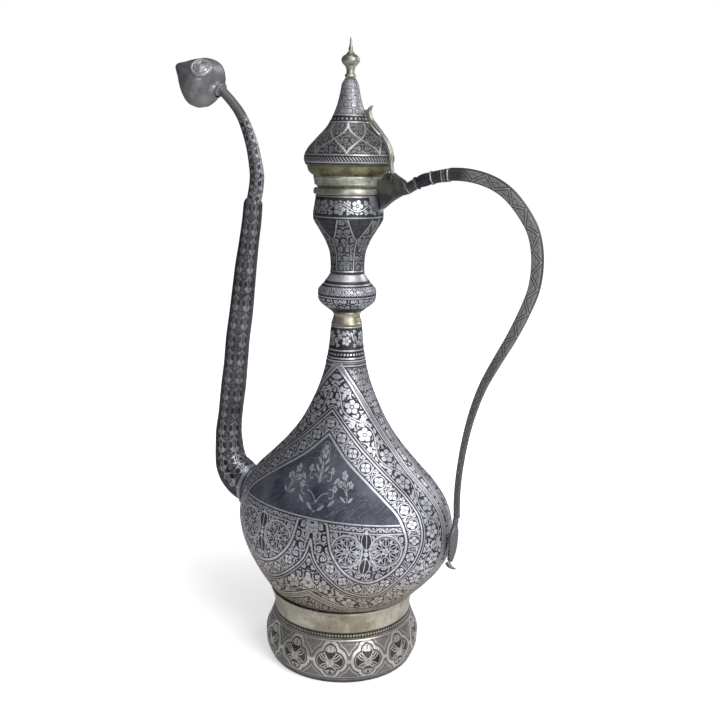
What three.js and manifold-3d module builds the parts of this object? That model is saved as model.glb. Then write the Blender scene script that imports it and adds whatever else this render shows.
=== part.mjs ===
// Ibrik ewer: a pear-shaped metal ewer on a flared foot, with a long curved spout that ends in a
// hollow bud, a bar handle, and a domed lid hinged at the top of the handle.
// Millimetres, +Z up. The vessel's turning axis is x = 0, y = 0 while the pieces are made.
// The spout lies on -X and the handle on +X. The whole is then moved so that the origin lies
// under the middle of its outline.

import * as THREE from 'three';
import { mergeVertices } from 'three/addons/utils/BufferGeometryUtils.js';
import Module from 'manifold-3d';

const wasm = await Module();
wasm.setup();

// Driving dimensions: heights, stacked from the ground up

const hemHeight = 3.9;
const flareHeight = 27.6;
const coveHeight = 19.5;
const bowlHeight = 43;
const shoulderHeight = 119;
const sleeveHeight = 24;
const collarHeight = 9;
const knopHeight = 25.3;
const cupHeight = 51.4;
const rimHeight = 4.3;
const lidCoveHeight = 13.7;
const lidDomeHeight = 54.8;
const finialBaseHeight = 16.2;
const finialSpikeHeight = 8.2;

// Driving dimensions: widths, all radii

const footRadius = 54;
const footWaistRadius = 47.8;
const hemInnerRadius = 44.4;
const bodyRadius = 80.1;
const neckRadius = 13.1;
const collarRadius = 8.9;
const knopRadius = 19.5;
const cupRadius = 23.2;
const rimRadius = 23;
const lidRadius = 29.4;
const lidFlangeRadius = 22.3;
const lidTopRadius = 4.7;
const bulbRadius = 5.9;
const spikeTipRadius = 0.7;

// Driving dimensions: sheet metal and fits

const wall = 1.2;
const seatGap = 0.3;
const lapHeight = 3.2;
const lapWall = 0.8;
const plugDepth = 4;
const plugPlay = 1;
const plugLeadIn = 0.5;
const overrun = 6;

// Driving dimensions: spout

const spoutRootHeight = 107;
const spoutReach = 79.4;
const spoutRise = 210;
const spoutTubeRadius = 8.7;
const spoutRootHoleRadius = 9.6;
const spoutFerruleWall = 1.3;
const spoutFerruleLength = 3;
const upperTubeRise = 72.4;
const upperTubeRadius = 4.5;
const upperTubeWall = 0.9;
const upperTubeInset = 8.8;
const tipRingLength = 3.4;
const tipRingRadius = 5.2;
const budLength = 40.4;
const budRadius = 17.9;
const budWall = 1.4;
const budMouthRadius = 2;
const budLip = 0.7;
const budTiltDegrees = 21;
const rosetteRadius = 7.4;
const rosetteHeight = 2.6;
const rosetteBendDegrees = 62;

// Driving dimensions: handle

const handleReach = 129.7;
const handleFootHeight = 117;
const handleCrownLift = 10;
const barHalfDepth = 3.15;
const barHalfWidth = 2.3;
const barStandOff = 8.85;
const beadRadius = 4.1;
const ferruleRadius = 4.2;
const ferruleHalfWidth = 3.6;
const socketLength = 6.2;
const beadLength = 12.9;
const ferruleLength = 10.8;
const socketHalfDepth = 3.5;
const socketHalfWidth = 3.1;
const leafLength = 31;
const leafHalfWidth = 5.6;
const leafHalfDepth = 3;
const leafStandOff = 3.65;
const tailLength = 8;
const tailRadius = 1.9;
const tailDrop = 1.2;
const tailStandOff = 2.9;

// Driving dimensions: hinge

const pinReach = 31.5;
const pinLift = 6.6;
const pinRadius = 1.5;
const pinPlay = 0.06;
const pinHeadRadius = 2.1;
const pinHeadLength = 0.7;
const knuckleRadius = 2.7;
const knuckleHalfWidth = 1.3;
const cheekGap = 1.6;
const cheekThickness = 1.6;
const strapThickness = 1.8;
const strapHalfWidth = 2;
const tongueHalfWidth = 9;
const tongueLength = 10.6;
const tongueThickness = 1.2;

// How finely round things are faceted

const roundSides = 28;
const smallSides = 14;
const tubeSides = 10;

// Heights where one piece ends and the next begins

const hemTop = hemHeight;
const flareTop = hemTop + flareHeight;
const coveTop = flareTop + coveHeight;
const bowlTop = coveTop + bowlHeight;
const shoulderTop = bowlTop + shoulderHeight;
const sleeveTop = shoulderTop + sleeveHeight;
const collarTop = sleeveTop + collarHeight;
const knopTop = collarTop + knopHeight;
const cupTop = knopTop + cupHeight;
const rimTop = cupTop + rimHeight;
const lidBottom = rimTop + seatGap;
const lidCoveTop = lidBottom + lidCoveHeight;
const lidDomeTop = lidCoveTop + lidDomeHeight;
const finialBaseTop = lidDomeTop + finialBaseHeight;

// Solids

function geometryOf(positions, triangles) {
  const geometry = new THREE.BufferGeometry();
  geometry.setAttribute('position', new THREE.Float32BufferAttribute(positions, 3));
  geometry.setIndex(triangles);
  return geometry;
}

// A closed solid from a geometry: shared vertices merged, empty triangles dropped, faces out.
function solid(geometry) {
  const bare = geometry.clone();
  for (const name of Object.keys(bare.attributes)) {
    if (name !== 'position') {
      bare.deleteAttribute(name);
    }
  }
  const merged = mergeVertices(bare);
  const vertProperties = Float32Array.from(merged.attributes.position.array);
  const index = merged.index.array;
  const corners = [];
  for (let i = 0; i < index.length; i += 3) {
    const [a, b, c] = [index[i], index[i + 1], index[i + 2]];
    if (a !== b && b !== c && c !== a) {
      corners.push([a, b, c]);
    }
  }
  const corner = (i) => new THREE.Vector3().fromArray(vertProperties, i * 3);
  const volume = corners.reduce((sum, [a, b, c]) => sum + corner(a).dot(corner(b).cross(corner(c))), 0);
  const faces = volume > 0 ? corners : corners.map(([a, b, c]) => [a, c, b]);
  const triVerts = Uint32Array.from(faces.flat());
  return new wasm.Manifold(new wasm.Mesh({ numProp: 3, vertProperties, triVerts }));
}

function geometryFrom(body) {
  const mesh = body.getMesh();
  return geometryOf(Array.from(mesh.vertProperties), Array.from(mesh.triVerts));
}

// A ring of sections joined side to side. The last section is closed onto the first when the
// loop is closed, as in a tube with a bore, and otherwise each end is capped.
function loft(sections, closedLoop = false) {
  const count = sections[0].length;
  const positions = sections.flat().flatMap((point) => point.toArray());
  const triangles = [];
  const joins = closedLoop ? sections.length : sections.length - 1;
  for (let i = 0; i < joins; i += 1) {
    const here = i * count;
    const next = ((i + 1) % sections.length) * count;
    for (let j = 0; j < count; j += 1) {
      const k = (j + 1) % count;
      triangles.push(here + j, here + k, next + k);
      triangles.push(here + j, next + k, next + j);
    }
  }
  if (!closedLoop) {
    const last = (sections.length - 1) * count;
    for (let j = 1; j < count - 1; j += 1) {
      triangles.push(0, j + 1, j);
      triangles.push(last, last + j, last + j + 1);
    }
  }
  return geometryOf(positions, triangles);
}

// A closed outline of [radius, height] turned round the Z axis.
function turned(outline, sides = roundSides) {
  const points = outline.map(([radius, height]) => new THREE.Vector2(radius, height));
  const closed = outline[0][0] === 0 && outline[outline.length - 1][0] === 0;
  if (!closed) {
    points.push(points[0].clone());
  }
  return new THREE.LatheGeometry(points, sides).rotateX(Math.PI / 2);
}

// The inside line of a sheet: the outside line moved inwards, listed from top to bottom.
function insideOf(outside, thickness) {
  return outside.map(([radius, height]) => [radius - thickness, height]).reverse();
}

// The same line with each point's radius and height worked out from shares of two sizes.
function profile(shares, radius, bottom, height) {
  return shares.map(([radiusShare, heightShare]) => [radius * radiusShare, bottom + height * heightShare]);
}

// A raised sheet with a lap inside its upper edge that the next piece is pushed over.
function lappedShell(outside, thickness) {
  const [topRadius, topHeight] = outside[outside.length - 1];
  const lapRadius = topRadius - thickness - seatGap;
  const lap = [
    [lapRadius, topHeight],
    [lapRadius, topHeight + lapHeight],
    [lapRadius - lapWall, topHeight + lapHeight],
    [lapRadius - lapWall, topHeight - lapHeight],
  ];
  return [...outside, ...lap, ...insideOf(outside.slice(0, -1), thickness)];
}

// The side of a sheet that ends in a plain edge.
function plainShell(outside, thickness) {
  return [...outside, ...insideOf(outside, thickness)];
}

// A flat outline of [x, z] points made into a plate between two Y places.
function plate(outline, fromY, toY) {
  const shape = new THREE.Shape(outline.map(([x, z]) => new THREE.Vector2(x, z)));
  const options = { depth: toY - fromY, bevelEnabled: false };
  return new THREE.ExtrudeGeometry(shape, options).rotateX(Math.PI / 2).translate(0, toY, 0);
}

// A smooth line in the XZ plane through [x, z] points.
function planeCurve(points) {
  const places = points.map(([x, z]) => new THREE.Vector3(x, 0, z));
  return new THREE.CatmullRomCurve3(places, false, 'centripetal');
}

// Stops along a curve, each with a depth in the plane of the curve and a width across it.
function sectionsAlong(curve, stops, sides, thin = 0) {
  return stops.map(([share, halfDepth, halfWidth]) => {
    const centre = curve.getPoint(share);
    const tangent = curve.getTangent(share);
    const across = new THREE.Vector3(-tangent.z, 0, tangent.x);
    const side = new THREE.Vector3(0, 1, 0);
    const ring = [];
    for (let i = 0; i < sides; i += 1) {
      const angle = (2 * Math.PI * (i + 1 / 2)) / sides;
      const point = centre.clone();
      point.addScaledVector(across, (halfDepth - thin) * Math.cos(angle));
      point.addScaledVector(side, (halfWidth - thin) * Math.sin(angle));
      ring.push(point);
    }
    return ring;
  });
}

// Stops for each point of a table of half depths, with the width a share of the depth.
function stopsFrom(table, steps) {
  const stops = [];
  const last = table.length - 1;
  for (let i = 0; i <= steps; i += 1) {
    const share = i / steps;
    const place = share * last;
    const before = Math.min(Math.floor(place), last - 1);
    const mix = place - before;
    const value = (column) => table[before][column] * (1 - mix) + table[before + 1][column] * mix;
    stops.push([share, value(0), value(1)]);
  }
  return stops;
}

function finish(colour, roughness, metalness = 0.85) {
  return new THREE.MeshStandardMaterial({ color: colour, roughness, metalness });
}

const engravedMetal = finish(0x5c5e69, 0.42);
const darkMetal = finish(0x3a3a3e, 0.45);
const brightMetal = finish(0xb9b3a2, 0.32);
const brassMetal = finish(0x8f8a62, 0.36);
const ironMetal = finish(0x3c3f38, 0.5);

const ewer = new THREE.Group();

// Each piece is made one closed solid, with its faces out, before it joins the group.
function add(name, piece, material) {
  const body = piece instanceof THREE.BufferGeometry ? solid(piece) : piece;
  const mesh = new THREE.Mesh(geometryFrom(body), material);
  mesh.name = name;
  ewer.add(mesh);
  return mesh;
}

// Body: the bowl and shoulder are raised round and then pressed flatter, front to back

const ovalShares = [[0.135, 1], [0.174, 0.915], [0.199, 0.852], [0.229, 0.786], [0.263, 0.735],
  [0.297, 0.7], [0.336, 0.681], [0.373, 0.68], [0.413, 0.698], [0.459, 0.736], [0.505, 0.783],
  [0.557, 0.86], [0.599, 0.94], [0.651, 1]];

// How wide the body is front to back at a height, as a share of its width from side to side.
function ovalAt(height) {
  const share = height / rimTop;
  const above = ovalShares.findIndex(([at]) => at > share);
  if (above <= 0) {
    return 1;
  }
  const [lowAt, lowValue] = ovalShares[above - 1];
  const [highAt, highValue] = ovalShares[above];
  return THREE.MathUtils.mapLinear(share, lowAt, highAt, lowValue, highValue);
}

function pressed(geometry) {
  const place = geometry.attributes.position;
  for (let i = 0; i < place.count; i += 1) {
    place.setY(i, place.getY(i) * ovalAt(place.getZ(i)));
  }
  return geometry;
}

const bowlShares = [[0.632, 0], [0.7, 0.13], [0.8, 0.32], [0.9, 0.55], [0.968, 0.78], [0.994, 1]];
const shoulderShares = [[0.994, 0], [1, 0.03], [0.985, 0.122], [0.938, 0.215], [0.843, 0.308], [0.689, 0.41],
  [0.53, 0.52], [0.402, 0.63], [0.302, 0.75], [0.223, 0.868], [neckRadius / bodyRadius, 1]];

const bowlBottom = coveTop + seatGap;
const bowlOutside = profile(bowlShares, bodyRadius, bowlBottom, bowlTop - bowlBottom);
const shoulderBottom = bowlTop + seatGap;
const shoulderOutside = profile(shoulderShares, bodyRadius, shoulderBottom, shoulderTop - shoulderBottom);

// The bowl's floor dips a little inside the foot.
const floorDip = 3;
const floorShares = [[0, -1], [0.36, -0.7], [0.56, -0.1]];
const floorOutside = profile(floorShares, bodyRadius, bowlBottom, floorDip);
const lapInside = bowlOutside[bowlOutside.length - 1][0] - wall - seatGap;
const bowlOutline = [...floorOutside, ...bowlOutside,
  [lapInside, bowlTop], [lapInside, bowlTop + lapHeight],
  [lapInside - lapWall, bowlTop + lapHeight], [lapInside - lapWall, bowlTop - lapHeight],
  ...insideOf(bowlOutside.slice(1, -2), wall),
  ...floorOutside.slice().reverse().map(([radius, height]) => [radius, height + wall])];

const bodyOutside = [...bowlOutside, ...shoulderOutside.slice(1)];

// How far the body's side stands from the axis at a height.
function bodySideAt(height) {
  const above = Math.max(bodyOutside.findIndex(([, at]) => at > height), 1);
  const [lowRadius, low] = bodyOutside[above - 1];
  const [highRadius, high] = bodyOutside[above];
  return THREE.MathUtils.mapLinear(height, low, high, lowRadius, highRadius);
}

// The outside of the whole body, a little larger, which cuts the pieces that sit on it.
function bodyEnvelope(gap) {
  const line = bodyOutside.map(([radius, height]) => [radius + gap, height]);
  const outline = [[0, line[0][1]], ...line, [0, line[line.length - 1][1]]];
  return solid(pressed(turned(outline)));
}

// Spout: a centre line of shares of the spout's reach beyond the axis and of its rise

const spoutShares = [[-0.985, 0], [-1.107, 0.024], [-1.171, 0.045], [-1.218, 0.071], [-1.238, 0.103], [-1.247, 0.141],
  [-1.251, 0.174], [-1.225, 0.264], [-1.192, 0.352], [-1.161, 0.44], [-1.137, 0.525], [-1.1, 0.61],
  [-1.07, 0.694], [-1.041, 0.776], [-1.006, 0.857], [-0.972, 0.937], [-0.956, 1]];
const spoutDepthShares = [[1.63, 1.45], [1.67, 1.48], [1.61, 1.45], [1.43, 1.36], [1.28, 1.25], [1.18, 1.17],
  [1.12, 1.12], [1.02, 1.02], [1.045, 1.045], [1, 1], [0.99, 0.99], [0.975, 0.975],
  [0.93, 0.93], [0.885, 0.885], [0.81, 0.81], [0.78, 0.78], [0.75, 0.75]];
const spoutSteps = 26;
const rootRingSteps = 7;

const spoutCurve = planeCurve(spoutShares.map(([xShare, zShare]) => [
  spoutReach * xShare, spoutRootHeight + spoutRise * zShare]));
const spoutStops = stopsFrom(
  spoutDepthShares.map(([depth, width]) => [spoutTubeRadius * depth, spoutTubeRadius * width]), spoutSteps);

function spoutInside() {
  return sectionsAlong(spoutCurve, spoutStops, tubeSides, wall).reverse();
}

const spoutOutside = sectionsAlong(spoutCurve, spoutStops, tubeSides);
const spoutTube = solid(loft([...spoutOutside, ...spoutInside()], true));
const clearOfBody = bodyEnvelope(seatGap);

// The hole in the body under the spout's root
const rootCentre = spoutCurve.getPoint(0);
const rootDirection = spoutCurve.getTangent(0);
const rootHoleLength = spoutRootHoleRadius + spoutFerruleLength + overrun + overrun;
const rootHole = new THREE.CylinderGeometry(
  spoutRootHoleRadius, spoutRootHoleRadius, rootHoleLength, smallSides);
rootHole.rotateZ(Math.atan2(-rootDirection.x, rootDirection.z));
rootHole.rotateX(Math.PI / 2);
rootHole.translate(rootCentre.x, 0, rootCentre.z);

add('body_bowl', pressed(turned(bowlOutline)), engravedMetal);
const shoulderSolid = solid(pressed(turned(lappedShell(shoulderOutside, wall))));
add('body_shoulder', shoulderSolid.subtract(solid(rootHole)), engravedMetal);
add('spout_lower', spoutTube.subtract(clearOfBody), darkMetal);

// Foot: a hollow flared ring, a rolled hem under it and a plain cove above it

const hemShares = [[0.89, 0], [0.93, 0.433], [0.948, 1], [0.89, 1]];
const hemInsideShare = 0.65;
const hemSolidHeight = hemHeight - seatGap;
const hemOutline = [[hemInnerRadius, 0], ...profile(hemShares, footRadius, 0, hemSolidHeight),
  [hemInnerRadius, hemSolidHeight * hemInsideShare]];
const flareShares = [[0.95, 0], [0.986, 0.19], [1, 0.39], [0.993, 0.6], [0.955, 0.8], [0.907, 1]];
const coveShares = [[1.018, 0], [1, 0.3], [1.012, 0.62], [1.055, 1]];
const flareOutside = profile(flareShares, footRadius, hemTop, flareHeight);
const coveOutside = profile(coveShares, footWaistRadius, flareTop + seatGap, coveHeight - seatGap);

add('foot_hem', turned(hemOutline), engravedMetal);
add('foot_flare', turned(plainShell(flareOutside, wall)), engravedMetal);
add('foot_cove', turned(plainShell(coveOutside, wall)), brightMetal);

// Neck: an engraved sleeve, a brass-coloured collar and a hollow knop

const sleeveShares = [[1, 0], [0.99, 0.16], [0.88, 0.55], [0.79, 1]];
const collarShares = [[1.15, 0], [1.12, 0.28], [1, 0.64], [1.06, 1]];
const knopShares = [[0.54, 0], [0.67, 0.1], [0.975, 0.32], [1, 0.55], [0.77, 0.8], [0.585, 1]];
const sleeveOutside = profile(sleeveShares, neckRadius, shoulderTop + seatGap, sleeveHeight - seatGap);
const collarOutside = profile(collarShares, collarRadius, sleeveTop + seatGap, collarHeight - seatGap);
const knopOutside = profile(knopShares, knopRadius, collarTop + seatGap, knopHeight - seatGap);

add('neck_sleeve', turned(plainShell(sleeveOutside, wall)), engravedMetal);
add('neck_collar', turned(plainShell(collarOutside, wall)), brassMetal);
add('neck_knop', turned(plainShell(knopOutside, wall)), engravedMetal);

// Mouth: a cup on a drawn-in stem, with a bright ring round its edge

const cupShares = [[0.485, 0], [0.483, 0.1], [0.509, 0.25], [0.625, 0.41], [0.819, 0.57], [1, 0.73],
  [0.961, 0.88], [0.922, 1]];
const cupOutside = profile(cupShares, cupRadius, knopTop + seatGap, cupHeight - seatGap);
const cupBore = cupOutside[cupOutside.length - 1][0] - wall;
const rimShares = [[0.985, 0], [1, 0.46], [0.975, 1]];
const rimBottom = cupTop + seatGap;
const rimOutline = [[cupBore, rimBottom], ...profile(rimShares, rimRadius, rimBottom, rimHeight - seatGap),
  [cupBore, rimTop]];

add('mouth_cup', turned(plainShell(cupOutside, wall)), engravedMetal);
add('mouth_rim', turned(rimOutline), brightMetal);

// Lid: cove, dome, plug, and the finial's bulb and spike

const lidCoveShares = [[0.9, 0], [0.99, 0.2], [1, 0.37], [1.07, 0.5], [1.17, 0.78], [1.235, 1]];
const lidDomeShares = [[0.945, 0], [1, 0.075], [0.92, 0.195], [0.742, 0.305], [0.493, 0.45],
  [0.347, 0.595], [0.252, 0.74], [0.187, 0.885], [lidTopRadius / lidRadius, 1]];
const finialBaseShares = [[0.8, 0], [0.8, 0.13], [0.54, 0.24], [0.56, 0.38], [0.93, 0.56], [1, 0.7],
  [0.78, 0.85], [0.3, 1]];
const spikeShares = [[2, 0], [2.1, 0.12], [1.3, 0.45], [1, 1]];

const lidCoveOutside = profile(lidCoveShares, lidFlangeRadius, lidBottom, lidCoveHeight);
const lidDomeOutside = profile(lidDomeShares, lidRadius, lidCoveTop + seatGap, lidDomeHeight - seatGap);
const lidDomeInside = insideOf(lidDomeOutside.slice(0, -2), wall);
const lidDomeCrown = lidDomeOutside[lidDomeOutside.length - 3][1];
const lidDomeOutline = [...lidDomeOutside.slice(0, -1), [lidTopRadius, lidDomeTop], [0, lidDomeTop],
  [0, lidDomeCrown], ...lidDomeInside];
const plugRadius = cupBore - plugPlay;
const plugBottom = rimTop - plugDepth;
const plugTopShare = 0.37;
const plugTop = lidBottom + lidCoveHeight * plugTopShare;
const plugOutline = [[plugRadius - plugLeadIn, plugBottom], [plugRadius, plugBottom + plugLeadIn],
  [plugRadius, plugTop], [plugRadius - wall, plugTop], [plugRadius - wall, plugBottom]];
const lidCoveInside = lidCoveOutside.map(([radius, height]) => [
  Math.max(radius - wall, plugRadius + seatGap), height]).reverse();
const finialBaseOutside = profile(finialBaseShares, bulbRadius, lidDomeTop + seatGap,
  finialBaseHeight - seatGap);
const spikeBottom = finialBaseTop + seatGap;
const spikeOutside = profile(spikeShares, spikeTipRadius, spikeBottom, finialSpikeHeight);

function solidOutline(outside) {
  return [[0, outside[0][1]], ...outside, [0, outside[outside.length - 1][1]]];
}

add('lid_cove', turned([...lidCoveOutside, ...lidCoveInside]), brassMetal);
add('lid_dome', turned(lidDomeOutline), engravedMetal);
add('lid_plug', turned(plugOutline), brassMetal);
add('lid_finial_base', turned(solidOutline(finialBaseOutside), smallSides), brightMetal);
add('lid_finial_spike', turned(solidOutline(spikeOutside), tubeSides), brightMetal);

// Spout's upper tube, pushed into the lower one, with a ring and the bud on its end

const spoutTopPlace = spoutCurve.getPoint(1);
const spoutTopDirection = spoutCurve.getTangent(1);
const upperStart = spoutTopPlace.clone().addScaledVector(spoutTopDirection, -upperTubeInset);
const upperShares = [[-0.996, 0], [-0.985, 0.05], [-0.972, 0.12], [-0.965, 0.22], [-0.98, 0.33],
  [-1.002, 0.44], [-1.034, 0.55], [-1.077, 0.66], [-1.14, 0.78], [-1.24, 0.9], [-1.345, 1]];
const upperDepthShares = [1, 1, 1, 1, 0.98, 0.93, 0.89, 0.88, 0.83, 0.76, 0.72, 0.72];
const upperSteps = 16;

const upperCurve = planeCurve([[upperStart.x, upperStart.z], ...upperShares.map(([xShare, zShare]) => [
  -spoutTopPlace.x * xShare, spoutTopPlace.z + upperTubeRise * zShare])]);
const upperStops = stopsFrom(
  upperDepthShares.map((share) => [upperTubeRadius * share, upperTubeRadius * share]), upperSteps);
const upperOutside = sectionsAlong(upperCurve, upperStops, tubeSides);
const upperInside = sectionsAlong(upperCurve, upperStops, tubeSides, upperTubeWall).reverse();
add('spout_upper', loft([...upperOutside, ...upperInside], true), darkMetal);

// Bud: a hollow turned form on a tilted axis, made upright and then laid past the spout's end

// Lays an upright piece along a direction, with its foot at a place.
function laid(geometry, direction, place) {
  const turn = new THREE.Quaternion().setFromUnitVectors(new THREE.Vector3(0, 0, 1), direction);
  return geometry.applyQuaternion(turn).translate(place.x, place.y, place.z);
}

const spoutEnd = upperCurve.getPoint(1);
const spoutEndDirection = upperCurve.getTangent(1);
const budTilt = THREE.MathUtils.degToRad(budTiltDegrees);
const budDirection = new THREE.Vector3(-Math.cos(budTilt), 0, Math.sin(budTilt));
const budSeatShare = 0.7;
const budPlace = spoutEnd.clone().addScaledVector(spoutEndDirection, tipRingLength * budSeatShare);
const budShares = [[0.27, 0], [0.62, 0.07], [0.86, 0.19], [0.985, 0.33], [0.99, 0.45], [0.9, 0.575],
  [0.71, 0.7], [0.43, 0.86], [0.21, 0.97]];
const budOutside = profile(budShares, budRadius, 0, budLength);
const budThroatRadius = upperStops[upperSteps][1] - upperTubeWall;
const budLipRadius = budMouthRadius + budLip;
const budOutline = [...budOutside, [budLipRadius, budLength], [budMouthRadius, budLength],
  ...insideOf(budOutside.slice(1, -1), budWall), [budThroatRadius, budWall], [budThroatRadius, 0]];
const budSides = 18;
add('spout_bud', laid(turned(budOutline, budSides), budDirection, budPlace), darkMetal);

const budEnvelopeOutline = solidOutline(budOutside.map(([radius, height]) => [radius + seatGap, height]));
budEnvelopeOutline[0][1] -= seatGap;
budEnvelopeOutline[1][1] -= seatGap;
const budEnvelope = solid(laid(turned(budEnvelopeOutline, budSides), budDirection, budPlace));

// The ring that joins the bud to the tube, shaped to the bud's back
const tipRingShares = [[0.84, 0], [1, 0.3], [1, 0.7], [0.84, 1]];
const tipRingOutside = profile(tipRingShares, tipRingRadius, seatGap, tipRingLength);
const tipRingTop = seatGap + tipRingLength;
const tipRingOutline = [...tipRingOutside, [budThroatRadius, tipRingTop], [budThroatRadius, seatGap]];
const tipRing = solid(laid(turned(tipRingOutline, smallSides), spoutEndDirection, spoutEnd));
add('spout_tip_ring', tipRing.subtract(budEnvelope), brightMetal);

// Rosettes: a domed boss on each side of the bud, cut to lie on it

const rosetteShares = [[1, 0], [0.94, 0.55], [0.62, 0.72], [0.45, 0.66], [0.3, 0.95], [0, 1]];
const rosetteAlongShare = 0.44;
const rosetteSeatShare = 0.99;
const rosetteSinkShare = 0.35;

// A boss that stands on the bud's side, leaning round the bud's own axis.
function rosette(side) {
  const outline = [[0, -rosetteHeight], [rosetteRadius, -rosetteHeight],
    ...profile(rosetteShares, rosetteRadius, 0, rosetteHeight)];
  const boss = turned(outline, smallSides);
  boss.translate(0, 0, budRadius * rosetteSeatShare - rosetteHeight * rosetteSinkShare);
  boss.rotateX(side * THREE.MathUtils.degToRad(rosetteBendDegrees));
  boss.rotateY(budTilt);
  const middle = budPlace.clone().addScaledVector(budDirection, budLength * rosetteAlongShare);
  return boss.translate(middle.x, middle.y, middle.z);
}

add('spout_rosette_near', solid(rosette(1)).subtract(budEnvelope), brightMetal);
add('spout_rosette_far', solid(rosette(-1)).subtract(budEnvelope), brightMetal);

// Ferrule: the ring that seats the spout's root on the body

const rootRingStops = spoutStops.slice(0, rootRingSteps);
const ferruleOuter = sectionsAlong(spoutCurve, rootRingStops, tubeSides, -spoutFerruleWall - seatGap);
const ferruleInner = sectionsAlong(spoutCurve, rootRingStops, tubeSides, -seatGap).reverse();
const ferruleTube = solid(loft([...ferruleOuter, ...ferruleInner], true));
const ferruleReach = bodyEnvelope(seatGap + spoutFerruleLength);
add('spout_ferrule', ferruleTube.subtract(clearOfBody).intersect(ferruleReach), brightMetal);

// Handle: one line carries the socket, the bead, the ribbed ferrule and the long bar. Its arch
// leaves the hinge, and its grip comes back in towards the body's side.

const archShares = [[0.33, 0.958], [0.39, 0.9775], [0.463, 0.991], [0.54, 0.999], [0.617, 1],
  [0.694, 0.989], [0.77, 0.977], [0.839, 0.954], [0.895, 0.923], [0.936, 0.892], [0.968, 0.861],
  [0.991, 0.818], [1, 0.759]];
const gripShares = [[0.968, 0.7], [0.849, 0.631], [0.69, 0.56], [0.499, 0.487], [0.316, 0.412],
  [0.188, 0.337], [0.0986, 0.262], [0.0377, 0.187], [0, 0.111], [-0.0087, 0.055], [0, 0]];
const handleRise = rimTop + handleCrownLift - handleFootHeight;
const handleFootReach = bodySideAt(handleFootHeight) + barStandOff;
const gripWidth = handleReach - handleFootReach;
const archPlaces = archShares.map(([xShare, zShare]) => [
  handleReach * xShare, handleFootHeight + handleRise * zShare]);
const gripPlaces = gripShares.map(([xShare, zShare]) => [
  handleFootReach + gripWidth * xShare, handleFootHeight + handleRise * zShare]);
const barDepthShares = [[1, 1], [1, 1], [1, 1], [1, 1], [0.97, 1], [0.9, 0.95], [0.78, 0.88],
  [0.64, 0.8], [0.56, 0.74], [0.52, 0.7], [0.52, 0.7]];
const barSides = 8;
const barSteps = 38;

const handleCurve = planeCurve([...archPlaces, ...gripPlaces]);
const beadStart = socketLength + seatGap;
const ferruleStart = beadStart + beadLength + seatGap;
const barStart = ferruleStart + ferruleLength + seatGap;
const barLength = handleCurve.getLength() - barStart;

// A piece along a stretch of the handle's line, from stops of [share of its length, depth, width].
function alongHandle(start, length, stops, sides) {
  const placed = stops.map(([share, depth, width]) => [
    handleCurve.getUtoTmapping(0, start + length * share), depth, width]);
  return loft(sectionsAlong(handleCurve, placed, sides));
}

function sized(shares, halfDepth, halfWidth) {
  return shares.map(([at, size]) => [at, halfDepth * size, halfWidth * size]);
}

const beadShares = [[0, 0.8], [0.04, 1.02], [0.1, 1.02], [0.14, 0.84], [0.35, 0.97], [0.6, 1],
  [0.84, 0.92], [0.88, 1.07], [0.97, 1.07], [1, 0.9]];
const ribShares = [[0, 0.88], [0.12, 1], [0.22, 0.88], [0.34, 1], [0.45, 0.88], [0.57, 1], [0.68, 0.88],
  [0.78, 1.05], [0.92, 1.05], [1, 0.92]];
const beadStops = sized(beadShares, beadRadius, beadRadius);
add('handle_bead', alongHandle(beadStart, beadLength, beadStops, tubeSides), darkMetal);
const ferruleRibs = sized(ribShares, ferruleRadius, ferruleHalfWidth);
add('handle_ferrule', alongHandle(ferruleStart, ferruleLength, ferruleRibs, tubeSides), ironMetal);
const barStops = stopsFrom(
  barDepthShares.map(([depth, width]) => [barHalfDepth * depth, barHalfWidth * width]), barSteps);
add('handle_bar', alongHandle(barStart, barLength, barStops, barSides), darkMetal);

// Terminal leaf: carries the bar's lower end and lies on the body, and a small tail under it

const leafTop = handleFootHeight - seatGap;
const leafPlaceShares = [[0.4, 1.26], [0.75, 1], [1, 1.18]];
const leafLine = planeCurve([[handleFootReach, leafTop], ...leafPlaceShares.map(([down, out]) => [
  bodySideAt(leafTop - leafLength * down) + leafStandOff * out, leafTop - leafLength * down])]);
const leafShares = [[0, 0.67, 0.32], [0.12, 0.76, 0.42], [0.3, 0.94, 0.85], [0.5, 1, 1],
  [0.75, 0.94, 0.78], [0.92, 0.81, 0.4], [1, 0.67, 0.2]];
const leafStops = leafShares.map(([at, depth, width]) => [at, leafHalfDepth * depth, leafHalfWidth * width]);
const leafSolid = solid(loft(sectionsAlong(leafLine, leafStops, tubeSides)));
add('handle_leaf', leafSolid.subtract(clearOfBody), darkMetal);

const tailTop = leafTop - leafLength - tailDrop;
const tailStart = bodySideAt(tailTop) + tailStandOff;
const tailPlaceShares = [[0, 0], [0.2, -0.25], [0.8, -0.45]];
const tailLine = planeCurve(tailPlaceShares.map(([out, up]) => [
  tailStart + tailLength * out, tailTop + tailLength * up]));
const tailShares = [[0, 1], [0.4, 0.8], [1, 0.2]];
const tailStops = sized(tailShares, tailRadius, tailRadius);
const tailSolid = solid(loft(sectionsAlong(tailLine, tailStops, barSides)));
add('handle_tail', tailSolid.subtract(clearOfBody), brightMetal);

// Hinge: two cheeks on the cup's side carry the pin, the socket is held between them

const pinHeight = rimTop + pinLift;
const cupSide = rimRadius + seatGap;
const cheekRight = archPlaces[0][0] - seatGap;
const cheekWidth = cheekRight - cupSide;
const cheekDropShare = 0.8;
const cheekLow = cupTop - tongueLength * cheekDropShare;
const cheekRise = pinHeight - cheekLow;

// Places on the cheek: shares of its way out from the cup, and of its way up to the pin.
function onCheek(shares) {
  return shares.map(([out, up]) => [cupSide + cheekWidth * out, cheekLow + cheekRise * up]);
}

// Places round the pin, as shares of the knuckle's radius.
function roundPin(shares) {
  return shares.map(([out, up]) => [pinReach + knuckleRadius * out, pinHeight + knuckleRadius * up]);
}

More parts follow.
